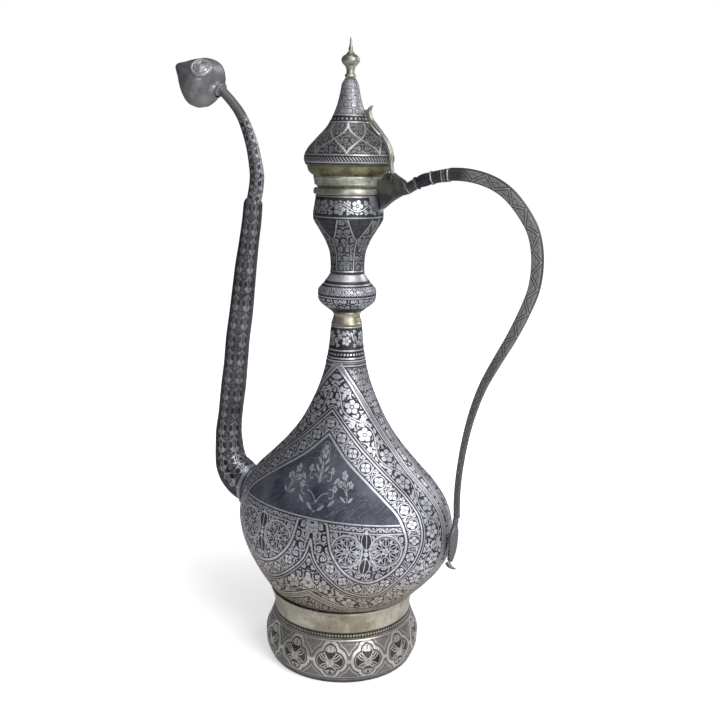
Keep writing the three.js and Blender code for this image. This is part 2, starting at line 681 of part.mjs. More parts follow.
const cheekUnderShares = [[0.094, 0], [0.42, 0.263], [0.72, 0.422]];
const cheekOuterShares = [[1, 0.604], [0.944, 0.847]];
const cheekCrownShares = [[1.1, 0.85], [0.3, 1.4], [-0.9, 1.3], [-1.9, 0.55], [-2.6, -0.5]];
const cheekCupShares = [[0, 0.675], [0, 0.438], [0.069, 0.219]];
const cheekOutline = [...onCheek([...cheekUnderShares, ...cheekOuterShares]),
  ...roundPin(cheekCrownShares), ...onCheek(cheekCupShares)];

// A round bar along Y at the hinge pin.
function atPin(radius, fromY, toY) {
  const bar = new THREE.CylinderGeometry(radius, radius, toY - fromY, smallSides);
  return bar.translate(pinReach, (fromY + toY) / 2, pinHeight);
}

const cheekOuter = cheekGap + cheekThickness;
const pinHole = solid(atPin(pinRadius + pinPlay, -cheekOuter - overrun, cheekOuter + overrun));
const nearCheek = solid(plate(cheekOutline, -cheekOuter, -cheekGap));
const farCheek = solid(plate(cheekOutline, cheekGap, cheekOuter));
add('hinge_cheek_near', nearCheek.subtract(pinHole), ironMetal);
add('hinge_cheek_far', farCheek.subtract(pinHole), ironMetal);

const pinEnd = cheekOuter + seatGap;
const pinShank = solid(atPin(pinRadius, -pinEnd - pinHeadLength, pinEnd + pinHeadLength));
const nearHead = solid(atPin(pinHeadRadius, -pinEnd - pinHeadLength, -pinEnd));
const farHead = solid(atPin(pinHeadRadius, pinEnd, pinEnd + pinHeadLength));
add('hinge_pin', pinShank.add(nearHead).add(farHead), brightMetal);

// Socket: a web between the cheeks and a stub that takes the bead
const webHalf = cheekGap - seatGap;
const webClear = solid(atPin(knuckleRadius + seatGap + seatGap, -cheekOuter, cheekOuter));
const webEndShares = [[1, -0.34], [1, 0.51]];
const webEnd = webEndShares.map(([out, up]) => [
  cheekRight + socketHalfDepth * out, archPlaces[0][1] + socketHalfDepth * up]);
const webTopShares = [[1, -0.6]];
const webCupShares = [[0.084, 0.791]];
const webOutline = [...onCheek(cheekUnderShares), ...webEnd, ...roundPin(webTopShares),
  ...onCheek([...webCupShares, ...cheekCupShares])];
const web = solid(plate(webOutline, -webHalf, webHalf)).subtract(webClear);
const stubShares = [[0, 0.98], [0.7, 1], [1, 0.92]];
const stubStops = sized(stubShares, socketHalfDepth, socketHalfWidth);
const stub = solid(alongHandle(0, socketLength, stubStops, tubeSides));
add('handle_socket', web.add(stub), ironMetal);

// Tongue: a leaf that lies on the cup's side under the rim, cut from a shell that fits the cup
const tongueTop = cupTop - seatGap;
const tongueShell = plainShell(cupOutside.slice(-4).map(([radius, height]) => [
  radius + seatGap + tongueThickness, height]), tongueThickness);
const tongueCurveShare = 0.6;
const tongueCurve = tongueTop - tongueLength * tongueCurveShare;
const tongueLeaf = new THREE.Shape();
tongueLeaf.moveTo(-tongueHalfWidth, tongueTop);
tongueLeaf.quadraticCurveTo(-tongueHalfWidth, tongueCurve, 0, tongueTop - tongueLength);
tongueLeaf.quadraticCurveTo(tongueHalfWidth, tongueCurve, tongueHalfWidth, tongueTop);
const leafCut = { depth: rimRadius + overrun, bevelEnabled: false, curveSegments: 6 };
const leafBlank = new THREE.ExtrudeGeometry(tongueLeaf, leafCut);
leafBlank.rotateX(Math.PI / 2);
leafBlank.rotateZ(Math.PI / 2);
add('hinge_tongue', solid(turned(tongueShell)).intersect(solid(leafBlank)), brightMetal);

// Lid strap: rolled round the pin, it climbs the lid, and a leaf for the thumb carries on above it

const strapOut = lidRadius + seatGap + strapThickness / 2;
const strapRootShares = [[0, 0.7], [-0.067, 2.07]];
const strapPlaceShares = [[0, 0.075], [-0.018, 0.175], [-0.1, 0.27], [-0.25, 0.375]];
const strapLine = planeCurve([...roundPin(strapRootShares), ...strapPlaceShares.map(([out, up]) => [
  strapOut + lidRadius * out, lidCoveTop + lidDomeHeight * up])]);
const strapDepthShare = 0.6;
const strapWidthShares = [[0, 0.78], [0.2, 0.78], [0.36, 0.78], [0.42, 1.2], [0.6, 1.2], [0.8, 1.2], [1, 1.08]];
const strapStops = strapWidthShares.map(([at, width]) => [
  at, strapThickness * strapDepthShare, strapHalfWidth * width]);
const strapBar = solid(loft(sectionsAlong(strapLine, strapStops, barSides)));
const knuckle = solid(atPin(knuckleRadius, -knuckleHalfWidth, knuckleHalfWidth));
const pinBore = solid(atPin(pinRadius + pinPlay, -cheekOuter, cheekOuter));
add('lid_strap', strapBar.add(knuckle).subtract(pinBore), brightMetal);

const thumbLowShare = 0.39;
const thumbHighShare = 0.69;
const thumbLow = lidCoveTop + lidDomeHeight * thumbLowShare;
const thumbRise = lidDomeHeight * (thumbHighShare - thumbLowShare);
const thumbShares = [[0.811, 0], [0.64, 0.33], [0.54, 0.57], [0.505, 0.83], [0.56, 1], [0.455, 0.82],
  [0.37, 0.84], [0.385, 0.72], [0.44, 0.6], [0.58, 0.26], [0.756, -0.033]];
const thumbOutline = thumbShares.map(([out, up]) => [lidRadius * out, thumbLow + thumbRise * up]);
add('lid_thumb_leaf', plate(thumbOutline, -strapHalfWidth, strapHalfWidth), brightMetal);

// The origin lies on the ground under the middle of the outline

const outline = new THREE.Box3().setFromObject(ewer);
const middle = outline.getCenter(new THREE.Vector3());
ewer.position.set(-middle.x, -middle.y, -outline.min.z);

export default ewer;
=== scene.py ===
# %% [markdown]
# # An ibrik: a pear-shaped ewer of tinned, engraved metal
# The ewer is raised from sheet, soldered together at its seams and engraved all over. This scene
# dresses the measured frame, piece by piece, with finer surfaces and with drawn ornament. Every
# size is in millimetres, counted from the turning axis, until a mesh is made from it.

# %% Load the frame
import math

import bmesh
import bpy
import numpy as np
from mathutils import Matrix, Vector


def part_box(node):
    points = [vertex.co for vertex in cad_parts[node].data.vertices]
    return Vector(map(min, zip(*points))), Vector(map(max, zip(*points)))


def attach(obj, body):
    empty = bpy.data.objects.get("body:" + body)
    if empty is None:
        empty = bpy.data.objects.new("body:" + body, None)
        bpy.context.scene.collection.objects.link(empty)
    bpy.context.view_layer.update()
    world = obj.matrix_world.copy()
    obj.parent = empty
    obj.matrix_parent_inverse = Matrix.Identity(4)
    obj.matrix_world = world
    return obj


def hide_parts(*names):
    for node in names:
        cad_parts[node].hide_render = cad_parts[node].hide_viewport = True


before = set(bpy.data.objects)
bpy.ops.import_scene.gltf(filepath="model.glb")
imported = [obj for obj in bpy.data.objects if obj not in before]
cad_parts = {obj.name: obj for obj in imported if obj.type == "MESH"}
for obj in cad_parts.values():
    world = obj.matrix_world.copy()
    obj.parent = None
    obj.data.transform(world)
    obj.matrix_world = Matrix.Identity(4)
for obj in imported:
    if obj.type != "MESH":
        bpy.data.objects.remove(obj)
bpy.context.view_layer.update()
MM = 0.001
rim_low, rim_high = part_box("mouth_rim")
AXIS = (rim_low.x + rim_high.x) / 2 / MM

# %% [markdown]
# ## The camera
# The photograph is taken from a little above the middle of the neck. The camera stands 632 mm from
# the turning axis, turned 30 degrees round it and tipped 12.4 degrees down, with a slight roll.

# %% Camera
CAMERA_DISTANCE = 632
CAMERA_HEIGHT = 351
CAMERA_YAW = math.radians(29.9)
CAMERA_PITCH = math.radians(12.39)
CAMERA_ROLL = math.radians(0.89)
LENS = 47.8
SHIFT = 0.0194

camera_data = bpy.data.cameras.new("camera")
camera_data.lens = LENS
camera_data.sensor_width = 36
camera_data.shift_x = SHIFT
camera_data.clip_end = 20
camera = bpy.data.objects.new("camera", camera_data)
bpy.context.scene.collection.objects.link(camera)
bpy.context.scene.camera = camera

right = Vector((math.cos(CAMERA_YAW), math.sin(CAMERA_YAW), 0))
level = Vector((-math.sin(CAMERA_YAW), math.cos(CAMERA_YAW), 0))
up = Vector((0, 0, 1))
forward = level * math.cos(CAMERA_PITCH) - up * math.sin(CAMERA_PITCH)
above = level * math.sin(CAMERA_PITCH) + up * math.cos(CAMERA_PITCH)
screen_x = right * math.cos(CAMERA_ROLL) + above * math.sin(CAMERA_ROLL)
screen_y = above * math.cos(CAMERA_ROLL) - right * math.sin(CAMERA_ROLL)
place = level * -CAMERA_DISTANCE + up * CAMERA_HEIGHT + Vector((AXIS, 0, 0))
turn = Matrix((screen_x, screen_y, -forward)).transposed().to_4x4()
camera.matrix_world = Matrix.Translation(place * MM) @ turn
print("camera at", tuple(round(v, 3) for v in camera.matrix_world.translation))

# %% [markdown]
# ## Smooth lines
# A smith judges a curve by eye through a few fixed places. Here the places are measured in the
# photograph, and two kinds of smooth curve are drawn through them: one for bent lines, and one for
# sizes, which must never swell past the measured ones.

# %% Smooth lines
def smooth_line(points, spacing):
    """Points a spacing apart on a smooth curve through the given ones."""
    p = np.array(points, float)
    knots = run_of(p)
    slopes = np.gradient(p, knots, axis=0)
    count = max(2, int(round(knots[-1] / spacing)) + 1)
    at = np.linspace(0, knots[-1], count)
    i = np.clip(np.searchsorted(knots, at) - 1, 0, len(p) - 2)
    h = (knots[i + 1] - knots[i])[:, None]
    t = (at - knots[i])[:, None] / h
    a = (1 + 2 * t) * (1 - t) ** 2 * p[i] + t * (1 - t) ** 2 * h * slopes[i]
    b = t * t * (3 - 2 * t) * p[i + 1] + t * t * (t - 1) * h * slopes[i + 1]
    return a + b


def run_of(points):
    """Distance run along a line, point by point."""
    steps = np.linalg.norm(np.diff(np.array(points, float), axis=0), axis=1)
    return np.concatenate([[0], np.cumsum(steps)])


def steady(xs, ys, at):
    """A smooth curve through (xs, ys) that never overshoots, read at the given places."""
    xs, ys, at = np.array(xs, float), np.array(ys, float), np.array(at, float)
    h = np.diff(xs)
    rise = np.diff(ys) / h
    slope = np.zeros(len(xs))
    slope[0], slope[-1] = rise[0], rise[-1]
    for k in range(1, len(xs) - 1):
        if rise[k - 1] * rise[k] > 0:
            w1, w2 = 2 * h[k] + h[k - 1], h[k] + 2 * h[k - 1]
            slope[k] = (w1 + w2) / (w1 / rise[k - 1] + w2 / rise[k])
    i = np.clip(np.searchsorted(xs, at) - 1, 0, len(xs) - 2)
    t = np.clip((at - xs[i]) / h[i], 0, 1)
    return ((1 + 2 * t) * (1 - t) ** 2 * ys[i] + t * (1 - t) ** 2 * h[i] * slope[i]
            + t * t * (3 - 2 * t) * ys[i + 1] + t * t * (t - 1) * h[i] * slope[i + 1])


print("half way between 1 and 3:", steady([0, 1], [1, 3], 0.5))

# %% [markdown]
# ## Skins
# Nearly every piece is either turned on the axis or drawn along a line, so both are made as rows of
# points that close round the piece. Each skin carries what its ornament needs, such as the distance
# run along it, as numbers on its points. A piece rides on its body and takes the place of the
# frame's node of the same name, unless other nodes are given.

# %% Rows of points into a piece
PIECES = {}
WALL = 1.2
MERGE_M = 1e-7


def skin(name, rows, body="vessel", nodes=None, numbers=None, closed=False, caps=True, sharp=35):
    """A piece from an array of rows of points round it; closed joins the last row to the first."""
    rows = np.array(rows, float)
    many, around = rows.shape[:2]
    verts = rows.reshape(-1, 3) * MM
    verts[:, 0] += AXIS * MM
    i = np.arange(many if closed else many - 1)[:, None]
    j = np.arange(around)[None, :]
    k = (j + 1) % around
    n = (i + 1) % many
    corners = [i * around + j, i * around + k, n * around + k, n * around + j]
    polygons = np.stack(corners, -1).reshape(-1, 4).tolist()
    if caps and not closed:
        polygons.append(list(range(around))[::-1])
        polygons.append([(many - 1) * around + c for c in range(around)])
    mesh = bpy.data.meshes.new(name)
    mesh.from_pydata(verts.tolist(), [], polygons)
    for key, values in (numbers or {}).items():
        layer = mesh.attributes.new(key, "FLOAT", "POINT")
        layer.data.foreach_set("value", np.array(values, np.float32).reshape(-1))
    return dress(name, mesh, body, nodes, sharp)


# %% A mesh into a piece of the frame
def dress(name, mesh, body, nodes, sharp):
    """Tidies a mesh, turns its faces out and puts the piece on its body in place of frame nodes."""
    work = bmesh.new()
    work.from_mesh(mesh)
    bmesh.ops.remove_doubles(work, verts=work.verts, dist=MERGE_M)
    loose = [edge for edge in work.edges if not edge.link_faces]
    bmesh.ops.delete(work, geom=loose, context="EDGES")
    bmesh.ops.recalc_face_normals(work, faces=work.faces)
    work.to_mesh(mesh)
    work.free()
    mesh.polygons.foreach_set("use_smooth", [True] * len(mesh.polygons))
    mesh.set_sharp_from_angle(angle=math.radians(sharp))
    piece = bpy.data.objects.new(name, mesh)
    bpy.context.scene.collection.objects.link(piece)
    nodes = nodes or [name]
    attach(piece, body)
    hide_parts(*nodes)
    PIECES[name] = piece
    print(name, len(mesh.vertices), "points")
    return piece


# %% Turned pieces
def angles(sides):
    """Angles spread evenly round a circle."""
    return np.arange(sides) * 2 * math.pi / sides


def round_rows(radii, heights, sides):
    """Rows round an upright axis. The radius is one number a row, or one a point."""
    radii = np.array(radii, float).reshape(len(heights), -1)
    level = np.array(heights, float)[:, None] + np.zeros(sides)
    return np.stack([radii * np.cos(angles(sides)), radii * np.sin(angles(sides)), level], -1)


def turned(name, outline, body="vessel", nodes=None, sides=160, shape=None, numbers=None):
    """An outline of [radius, height] turned round the axis. shape may press the rows out of round."""
    rows = round_rows(*np.array(outline, float).T, sides)
    if shape is not None:
        rows = shape(rows)
    return skin(name, rows, body, nodes, numbers, closed=True)


def sheet_outline(outside, every):
    """The outside line, then the same line moved in by the sheet's thickness, with fewer points."""
    inner = outside[::-1][::every] - [WALL, 0]
    inner[-1] = outside[0] - [WALL, 0]
    return np.vstack([outside, inner])


def profile(table, low, high, spacing, beads=()):
    """[radius, height] on a smooth curve through a table of (height, radius), between two heights.
    Beads are small rings or grooves: (height, how proud, half width)."""
    heights = np.linspace(low, high, max(3, int((high - low) / spacing)))
    radius = steady(*zip(*table), heights)
    for height, proud, half in beads:
        radius += proud * np.exp(-(((heights - height) / half) ** 2))
    return np.stack([radius, heights], 1)


# %% Pieces drawn along a line
def along_line(line, spacing, stops):
    """Points on a smooth line, with the distance run, the half depth, the half width and the way
    the line goes at each. stops are (share of the length, half depth, half width)."""
    points = smooth_line(line, spacing)
    run = run_of(points)
    shares, depths, widths = np.array(stops, float).T
    way = np.gradient(points, axis=0)
    way /= np.linalg.norm(way, axis=1)[:, None]
    return points, run, steady(shares, depths, run / run[-1]), steady(shares, widths, run / run[-1]), way


def swept(name, line, stops, spacing, body="vessel", sides=32, thin=0.0, power=2.0, start=None,
          ribs=None, shift=0.0):
    """A bar or tube drawn along a line in the plane through spout and handle.
    power squares the section; thin makes it a tube of that wall; start gives, for each side, where
    along the line it begins; shift moves the whole tube to its outer side."""
    points, run, depth, width, way = along_line(line, spacing, stops)
    share = run / run[-1]
    if ribs is not None:
        depth, width = depth * ribs(share), width * ribs(share)
    angle = (np.arange(sides) + 0.5) * 2 * math.pi / sides
    c = np.sign(np.cos(angle)) * np.abs(np.cos(angle)) ** (2 / power)
    s = np.sign(np.sin(angle)) * np.abs(np.sin(angle)) ** (2 / power)
    columns = np.column_stack([points, way, depth, width]).T

    def ring(at, inward=0.0):
        x, z, way_x, way_z, d, w = (np.interp(at, run, column) for column in columns)
        q = (d - inward) * c
        y = (w - inward) * s
        return np.stack([x - way_z * (q + shift), y, z + way_x * (q + shift)], -1), q

    begin = np.zeros(sides) if start is None else start(ring, sides)
    steps = [(value, 0.0) for value in share]
    if thin:
        steps += [(value, thin) for value in share[::-1][::4]]
    runs = [begin + (run[-1] - begin) * value for value, _ in steps]
    rows, across = zip(*[ring(at, inward) for at, (_, inward) in zip(runs, steps)])
    return skin(name, rows, body, None, {"along": runs, "across": across}, closed=bool(thin))


# %% Plates
def plate(name, outline, low, high, body="vessel", nodes=None, bevel=0.4, spacing=0.6):
    """A flat plate cut to an outline of [x, z], between two y places, with eased edges. The outline
    is smoothed where spacing is given."""
    line = np.array(outline, float)
    if spacing:
        line = smooth_line(np.vstack([line, line[:1]]), spacing)[:-1]
    work = bmesh.new()
    edge = [work.verts.new(((x + AXIS) * MM, low * MM, z * MM)) for x, z in line]
    face = work.faces.new(edge)
    lifted = bmesh.ops.extrude_face_region(work, geom=[face])
    top = [v for v in lifted["geom"] if isinstance(v, bmesh.types.BMVert)]
    bmesh.ops.translate(work, verts=top, vec=(0, (high - low) * MM, 0))
    rims = [e for e in work.edges if len({round(v.co.y, 7) for v in e.verts}) == 1]
    bmesh.ops.bevel(work, geom=rims, offset=bevel * MM, segments=3, profile=0.5, affect="EDGES",
                    clamp_overlap=True)
    mesh = bpy.data.meshes.new(name)
    work.to_mesh(mesh)
    work.free()
    return dress(name, mesh, body, nodes, 50)


# %% [markdown]
# ## The turned outline
# Foot, body, neck, cup and lid share one outline, read off the photograph as a radius at each
# height. The body was raised round and then pressed flatter from front to back, so a second table
# gives its depth as a share of its width.

# %% Outline tables
FOOT_LINE = [(0, 48.0), (4, 51.4), (10, 53.6), (18, 54.0), (26, 51.2), (32, 48.7), (38, 47.8),
             (44, 48.6), (51, 50.6)]
BODY_LINE = [(51, 50.6), (57, 56.6), (65, 64.0), (75, 71.9), (86, 77.6), (97, 80.0), (108, 78.9),
             (119, 75.2), (130, 67.5), (142, 55.2), (155, 42.5), (168, 32.2), (182, 24.2),
             (196, 17.9), (208, 14.2), (213, 13.1)]
NECK_LINE = [(213, 13.1), (220, 12.0), (230, 10.9), (237, 10.3)]
COLLAR_LINE = [(237, 10.2), (240, 9.6), (243, 8.8), (246, 9.4)]
KNOP_LINE = [(246, 10.4), (248, 12.9), (251, 16.8), (254, 19.0), (257, 19.5), (260, 19.4),
             (266, 14.8), (271.4, 11.4)]
CUP_LINE = [(271.4, 11.25), (276, 11.2), (284, 11.8), (292, 14.5), (300, 19.0), (308, 23.1),
            (310.5, 23.1), (316, 22.3), (322.7, 21.4)]
LID_COVE_LINE = [(327.3, 20.0), (329.5, 21.8), (332, 22.3), (334, 23.4), (338, 26.1), (341, 27.5)]
DOME_LINE = [(341.2, 27.7), (343.3, 28.9), (345, 29.3), (348, 28.9), (352, 26.9), (358, 21.7),
             (366, 14.5), (374, 10.2), (382, 7.5), (389, 6.0), (391.5, 5.6), (394, 4.4), (395.8, 3.2)]
DEPTH_SHARE = [(44, 1), (57, 0.915), (65, 0.852), (75, 0.786), (86, 0.735), (97, 0.70),
               (110, 0.681), (122, 0.68), (135, 0.698), (150, 0.736), (165, 0.783), (182, 0.86),
               (196, 0.94), (213, 1)]


def side_at(z):
    """How far the body's side stands from the axis at a height."""
    return steady(*zip(*BODY_LINE), z)


def depth_at(z):
    """The body's depth from front to back at a height, as a share of its width."""
    return steady(*zip(*DEPTH_SHARE), z)


def stand_off(points):
    """Roughly how far points stand outside the body's skin."""
    x, y, z = np.moveaxis(np.asarray(points, float), -1, 0)
    return np.sqrt(x ** 2 + (y / depth_at(z)) ** 2) - side_at(z)


print("body is widest at", max(BODY_LINE, key=lambda place: place[1]))

# %% [markdown]
# ## Body
# One skin stands for the bowl and the shoulder, whose seam is burnished away on the real ewer.
# It is a closed sheet 1.2 mm thick, so it also looks right where an opening shows its edge.

# %% Body outline
BODY_LOW, BODY_HIGH = 51.3, 212.8
NECK_BEAD = (211.6, 0.35, 0.9)
BODY_FLOOR = [[46, 50.9], [30, 50.3], [0, 49.5], [0, 48.4], [30, 49.2], [45, 51.0]]
body_out = profile(BODY_LINE, BODY_LOW, BODY_HIGH, 0.8, [NECK_BEAD])
body_in = body_out[::-1][::12] - [WALL, 0]
body_line = np.vstack([body_out, body_in[:-1], BODY_FLOOR])


def press(rows):
    """Presses the rows of the body flatter from front to back, and leaves its floor round."""
    wall = rows[:, :, 2] > BODY_LOW - 1
    rows[:, :, 1] *= np.where(wall, depth_at(rows[:, :, 2]), 1)
    return rows


print("body outline of", len(body_line), "places")

# %% [markdown]
# ## The heart on the body
# The engraver divides each face of the body with three heart-shaped lines, one inside the other,
# that start at the neck, swell to the sides and meet again low on the front. Every point of the
# skin learns how far it lies from each line, so that the bands between them can be filled later
# with rows of ornament that follow the curves. The back is drawn like the front.

# %% Heart lines, right half: degrees round the body from the centre line, and height
HEARTS = {
    "a": [(0, 213), (66, 182), (79, 161), (81, 144), (84, 132), (86, 121), (85, 106), (83, 91),
          (77, 70), (65, 57), (40, 54), (16, 59), (0, 66)],
    "b": [(0, 182), (33, 163), (50, 148), (61, 133), (65, 120), (64, 107), (59, 93), (51, 79),
          (40, 68), (23, 71), (10, 81), (3, 91), (0, 105)],
    "c": [(0, 167), (20, 153), (35, 141), (44, 131), (50, 122), (52, 115), (53, 106), (50, 94),
          (43, 84), (33, 79), (21, 84), (12, 96), (8, 115)]}
CENTRE_TURN = math.radians(5)
PANEL_FOOT = 116.5
GIRTH_HEIGHT = 100.0
LINE_STEP, LINE_REACH = 1.0, 0.6


def from_centre(angle):
    """The angle of the pattern for an angle round the pressed body. The pattern's centre line
    stands a little to the right of the front."""
    return angle - CENTRE_TURN * np.cos(angle) ** 2


def on_section(own):
    """The angle round the pressed body for an angle of the pattern."""
    found = own.copy()
    for _ in range(6):
        found = own + CENTRE_TURN * np.cos(found) ** 2
    return found


def on_body(own, z):
    """The point of the body's skin at an angle of the pattern and a height."""
    side, angle = side_at(z), on_section(own)
    return np.stack([side * np.sin(angle), -side * depth_at(z) * np.cos(angle), z], -1)


print("the heart's outer line stands", HEARTS["a"][-1][1], "mm high at its foot")

# %% Which side of a line, and how far from it
def inside(polygon, u, v):
    """Which points lie inside a polygon."""
    hit = np.zeros(u.shape, bool)
    for (u0, v0), (u1, v1) in zip(polygon, np.roll(polygon, -1, 0)):
        if v0 == v1:
            continue
        cross = (v0 > v) != (v1 > v)
        hit ^= cross & (u < (u1 - u0) * (v - v0) / (v1 - v0) + u0)
    return hit


def nearest(drawn, spot):
    """For each spot: its distance from a drawn line, and how far along the line that is."""
    way = np.gradient(drawn, axis=0)
    way /= np.linalg.norm(way, axis=1)[:, None]
    near, at = np.full(spot.shape[:-1], np.inf), np.zeros(spot.shape[:-1])
    for p, t, s in zip(drawn, way, run_of(drawn)):
        gap = spot - p
        ahead = np.clip(gap @ t, -LINE_REACH, LINE_REACH)
        square = (gap ** 2).sum(-1) - ahead ** 2
        closer = square < near
        near = np.where(closer, square, near)
        at = np.where(closer, s + ahead, at)
    return np.sqrt(np.maximum(near, 0)), at


# %% Numbers for the points of the body
def heart_numbers(outline, sides):
    """For each point of the body's skin: its distance from each heart line, less than nothing
    inside it, its place along the line, and its distance round the body from the centre line."""
    z = np.repeat(np.clip(outline[:, 1:2], BODY_LOW, BODY_HIGH), sides, 1)
    turns = angles(sides)
    folded = np.arctan2(np.cos(turns), np.abs(np.sin(turns)))
    own = np.repeat(np.abs(from_centre(folded))[None], len(outline), 0)
    spot = on_body(own, z)
    numbers = {}
    for key, places in HEARTS.items():
        degrees, height = np.array(places, float).T
        drawn = smooth_line(on_body(np.radians(degrees), height), LINE_STEP)
        x, y, height = drawn.T
        side = side_at(height)
        angle = np.arctan2(x / side, -y / (side * depth_at(height)))
        edge = np.stack([np.abs(from_centre(angle)), height], 1)
        foot = PANEL_FOOT if key == "c" else height[-1]
        polygon = np.vstack([edge, [[-0.01, foot], [-0.01, height[0] + 0.01]]])
        off, along = nearest(drawn, spot)
        numbers["edge_" + key] = np.where(inside(polygon, own, z), -1, 1) * off
        numbers["run_" + key] = along
    steps = np.linspace(0, math.pi / 2, 120)
    arc = run_of(on_body(steps, np.full(120, GIRTH_HEIGHT)))
    numbers["girth"] = np.interp(own, steps, arc)
    return numbers


# %% Body skin
BODY_SIDES = 320
body_numbers = heart_numbers(body_line, BODY_SIDES)
turned("body", body_line, nodes=["body_bowl", "body_shoulder"], sides=BODY_SIDES,
       shape=press, numbers=body_numbers)

# %% [markdown]
# ## Foot
# A hollow flared ring with a plain bright cove above it and a turned hem under it. Cove and flare
# are thin sheet: a line through the measured radii, with fine turned rings at the edges, laid
# double and turned round the axis.

# %% Foot
def sheet(name, table, low, high, beads, spacing=0.35, every=8, body="vessel", sides=128):
    """A turned piece of thin sheet between two heights, with its rings and grooves."""
    outline = sheet_outline(profile(table, low, high, spacing, beads), every)
    turned(name, outline, body, sides=sides)


HEM_LINE = [[44.6, 0], [48.2, 0], [49.4, 0.5], [50.3, 1.6], [51.0, 3.0], [50.9, 3.7], [49.6, 3.8],
            [44.6, 2.4]]
sheet("foot_cove", FOOT_LINE, 31.9, 50.9, [(49.6, 0.5, 0.8), (33.2, 0.35, 0.7)],
      spacing=0.8, every=5, sides=160)
sheet("foot_flare", FOOT_LINE, 4.1, 31.4, [(30.3, 0.3, 0.6), (28.2, 0.25, 0.5)],
      spacing=0.5, sides=160)
turned("foot_hem", HEM_LINE)

# %% [markdown]
# ## Neck and cup
# The neck is a stack of short pieces: a sleeve, a brass collar, a hollow knop and the stem of the
# cup. They are sheet like the foot; the rim round the cup's edge is solid, so it is turned from a
# closed outline of its own.

# %% Neck and cup
RIM_LINE = [[20.3, 323.1], [22.5, 323.1], [22.9, 323.6], [22.95, 324.6], [22.8, 325.9],
            [22.4, 326.8], [21.8, 327.0], [20.3, 327.0]]
sheet("neck_sleeve", NECK_LINE, 213.2, 236.8,
      [(214.4, 0.3, 0.6), (217.6, 0.25, 0.5), (231.6, 0.25, 0.4), (233.4, 0.25, 0.4)])
sheet("neck_collar", COLLAR_LINE, 237.3, 246.0, [(238.2, 0.4, 0.5), (245.2, 0.5, 0.5)])
sheet("neck_knop", KNOP_LINE, 246.4, 271.2,
      [(256.4, -0.25, 0.4), (262.6, -0.25, 0.4), (266.6, 0.3, 0.5)])
sheet("mouth_cup", CUP_LINE, 271.7, 322.6,
      [(272.6, 0.35, 0.6), (305.2, -0.2, 0.4), (320.0, -0.2, 0.4)])
turned("mouth_rim", RIM_LINE, sides=128)

# %% [markdown]
# ## Lid
# The dome sits on a brass cove, with a sleeve inside that drops into the cup. Its top draws in to
# a small turned finial with a ring, a bulb and a spike. The dome is thin sheet too, closed at its
# top; the finial is solid.

# %% Lid cove, dome and sleeve
COVE_BEADS = [(329.4, 0.5, 0.7), (331.4, 0.45, 1.4), (334.8, -0.75, 0.8), (337.6, 0.35, 1.6)]
DOME_BEADS = [(342.0, 0.2, 0.4), (346.9, 0.18, 0.4), (372.4, 0.22, 0.45), (369.0, 0.22, 0.45)]
DOME_TOP = 395.7
PLUG_LINE = [[18.7, 323.1], [19.1, 323.6], [19.2, 325], [19.2, 332.3], [18.0, 332.3], [18.0, 323.1]]
sheet("lid_cove", LID_COVE_LINE, 327.4, 341.0, COVE_BEADS, body="lid")
dome_out = profile(DOME_LINE, 341.3, DOME_TOP, 0.4, DOME_BEADS)
dome_in = dome_out[:-28][::-1][::8] - [WALL, 0]
dome_line = np.vstack([dome_out, [[0, DOME_TOP], [0, dome_in[0, 1]]], dome_in])
turned("lid_dome", dome_line, "lid", sides=144)
turned("lid_plug", PLUG_LINE, "lid", sides=96)

# %% Finial
BASE_LINE = [(396.1, 3.3), (396.8, 3.6), (397.7, 3.5), (398.4, 2.9), (399.4, 2.6), (401, 2.7),
             (402.6, 3.3), (404.4, 4.9), (406.2, 5.85), (407.6, 5.8), (409.2, 4.6), (410.4, 2.8),
             (411.9, 1.8)]
SPIKE_LINE = [(412.3, 1.4), (413.3, 1.45), (416, 0.9), (418.6, 0.7), (420.4, 0.35)]

for name, table, sides in (("lid_finial_base", BASE_LINE, 48), ("lid_finial_spike", SPIKE_LINE, 32)):
    low, high = table[0][0], table[-1][0]
    solid = np.vstack([[[0, low]], profile(table, low, high, 0.25), [[0, high]]])
    turned(name, solid, "lid", sides=sides)

# %% [markdown]
# ## Spout
# The spout is the hardest piece to make: a tapering tube bent into a long S, wide and flattened
# where it leaves the body and cut like a saddle to fit the curved side. Each side of the tube
# starts exactly where it meets the body, so the cut follows the body all round.

# %% Spout line
ROOT_Z, SPOUT_REACH, SPOUT_RISE = 107, 79.4, 210
SPOUT_SHARES = [[-0.985, 0], [-1.107, 0.024], [-1.171, 0.045], [-1.218, 0.071], [-1.238, 0.103],
                [-1.247, 0.141], [-1.251, 0.174], [-1.225, 0.264], [-1.192, 0.352], [-1.161, 0.44],
                [-1.137, 0.525], [-1.1, 0.61], [-1.07, 0.694], [-1.041, 0.776], [-1.006, 0.857],
                [-0.972, 0.937], [-0.956, 1]]
SPOUT_SIZES = [[1.63, 1.45], [1.67, 1.48], [1.61, 1.45], [1.43, 1.36], [1.28, 1.25], [1.18, 1.17],
               [1.12, 1.12], [1.02, 1.02], [1.045, 1.045], [1, 1], [0.99, 0.99], [0.975, 0.975],
               [0.93, 0.93], [0.885, 0.885], [0.81, 0.81], [0.78, 0.78], [0.75, 0.75]]
TUBE_RADIUS = 8.7
SHOULDER, SHOULDER_RADIUS = 3.2, 5.1
spout_points = [[SPOUT_REACH * x, ROOT_Z + SPOUT_RISE * z] for x, z in SPOUT_SHARES]
spout_runs = run_of(spout_points)
spout_full = spout_runs[-1]
spout_stops = [[run / spout_full, TUBE_RADIUS * d, TUBE_RADIUS * w]
               for run, (d, w) in zip(spout_runs, SPOUT_SIZES)]
drawn_in = [[1 - SHOULDER / spout_full, *spout_stops[-1][1:]], [1, SHOULDER_RADIUS, SHOULDER_RADIUS]]
print("spout runs", round(spout_full), "mm")


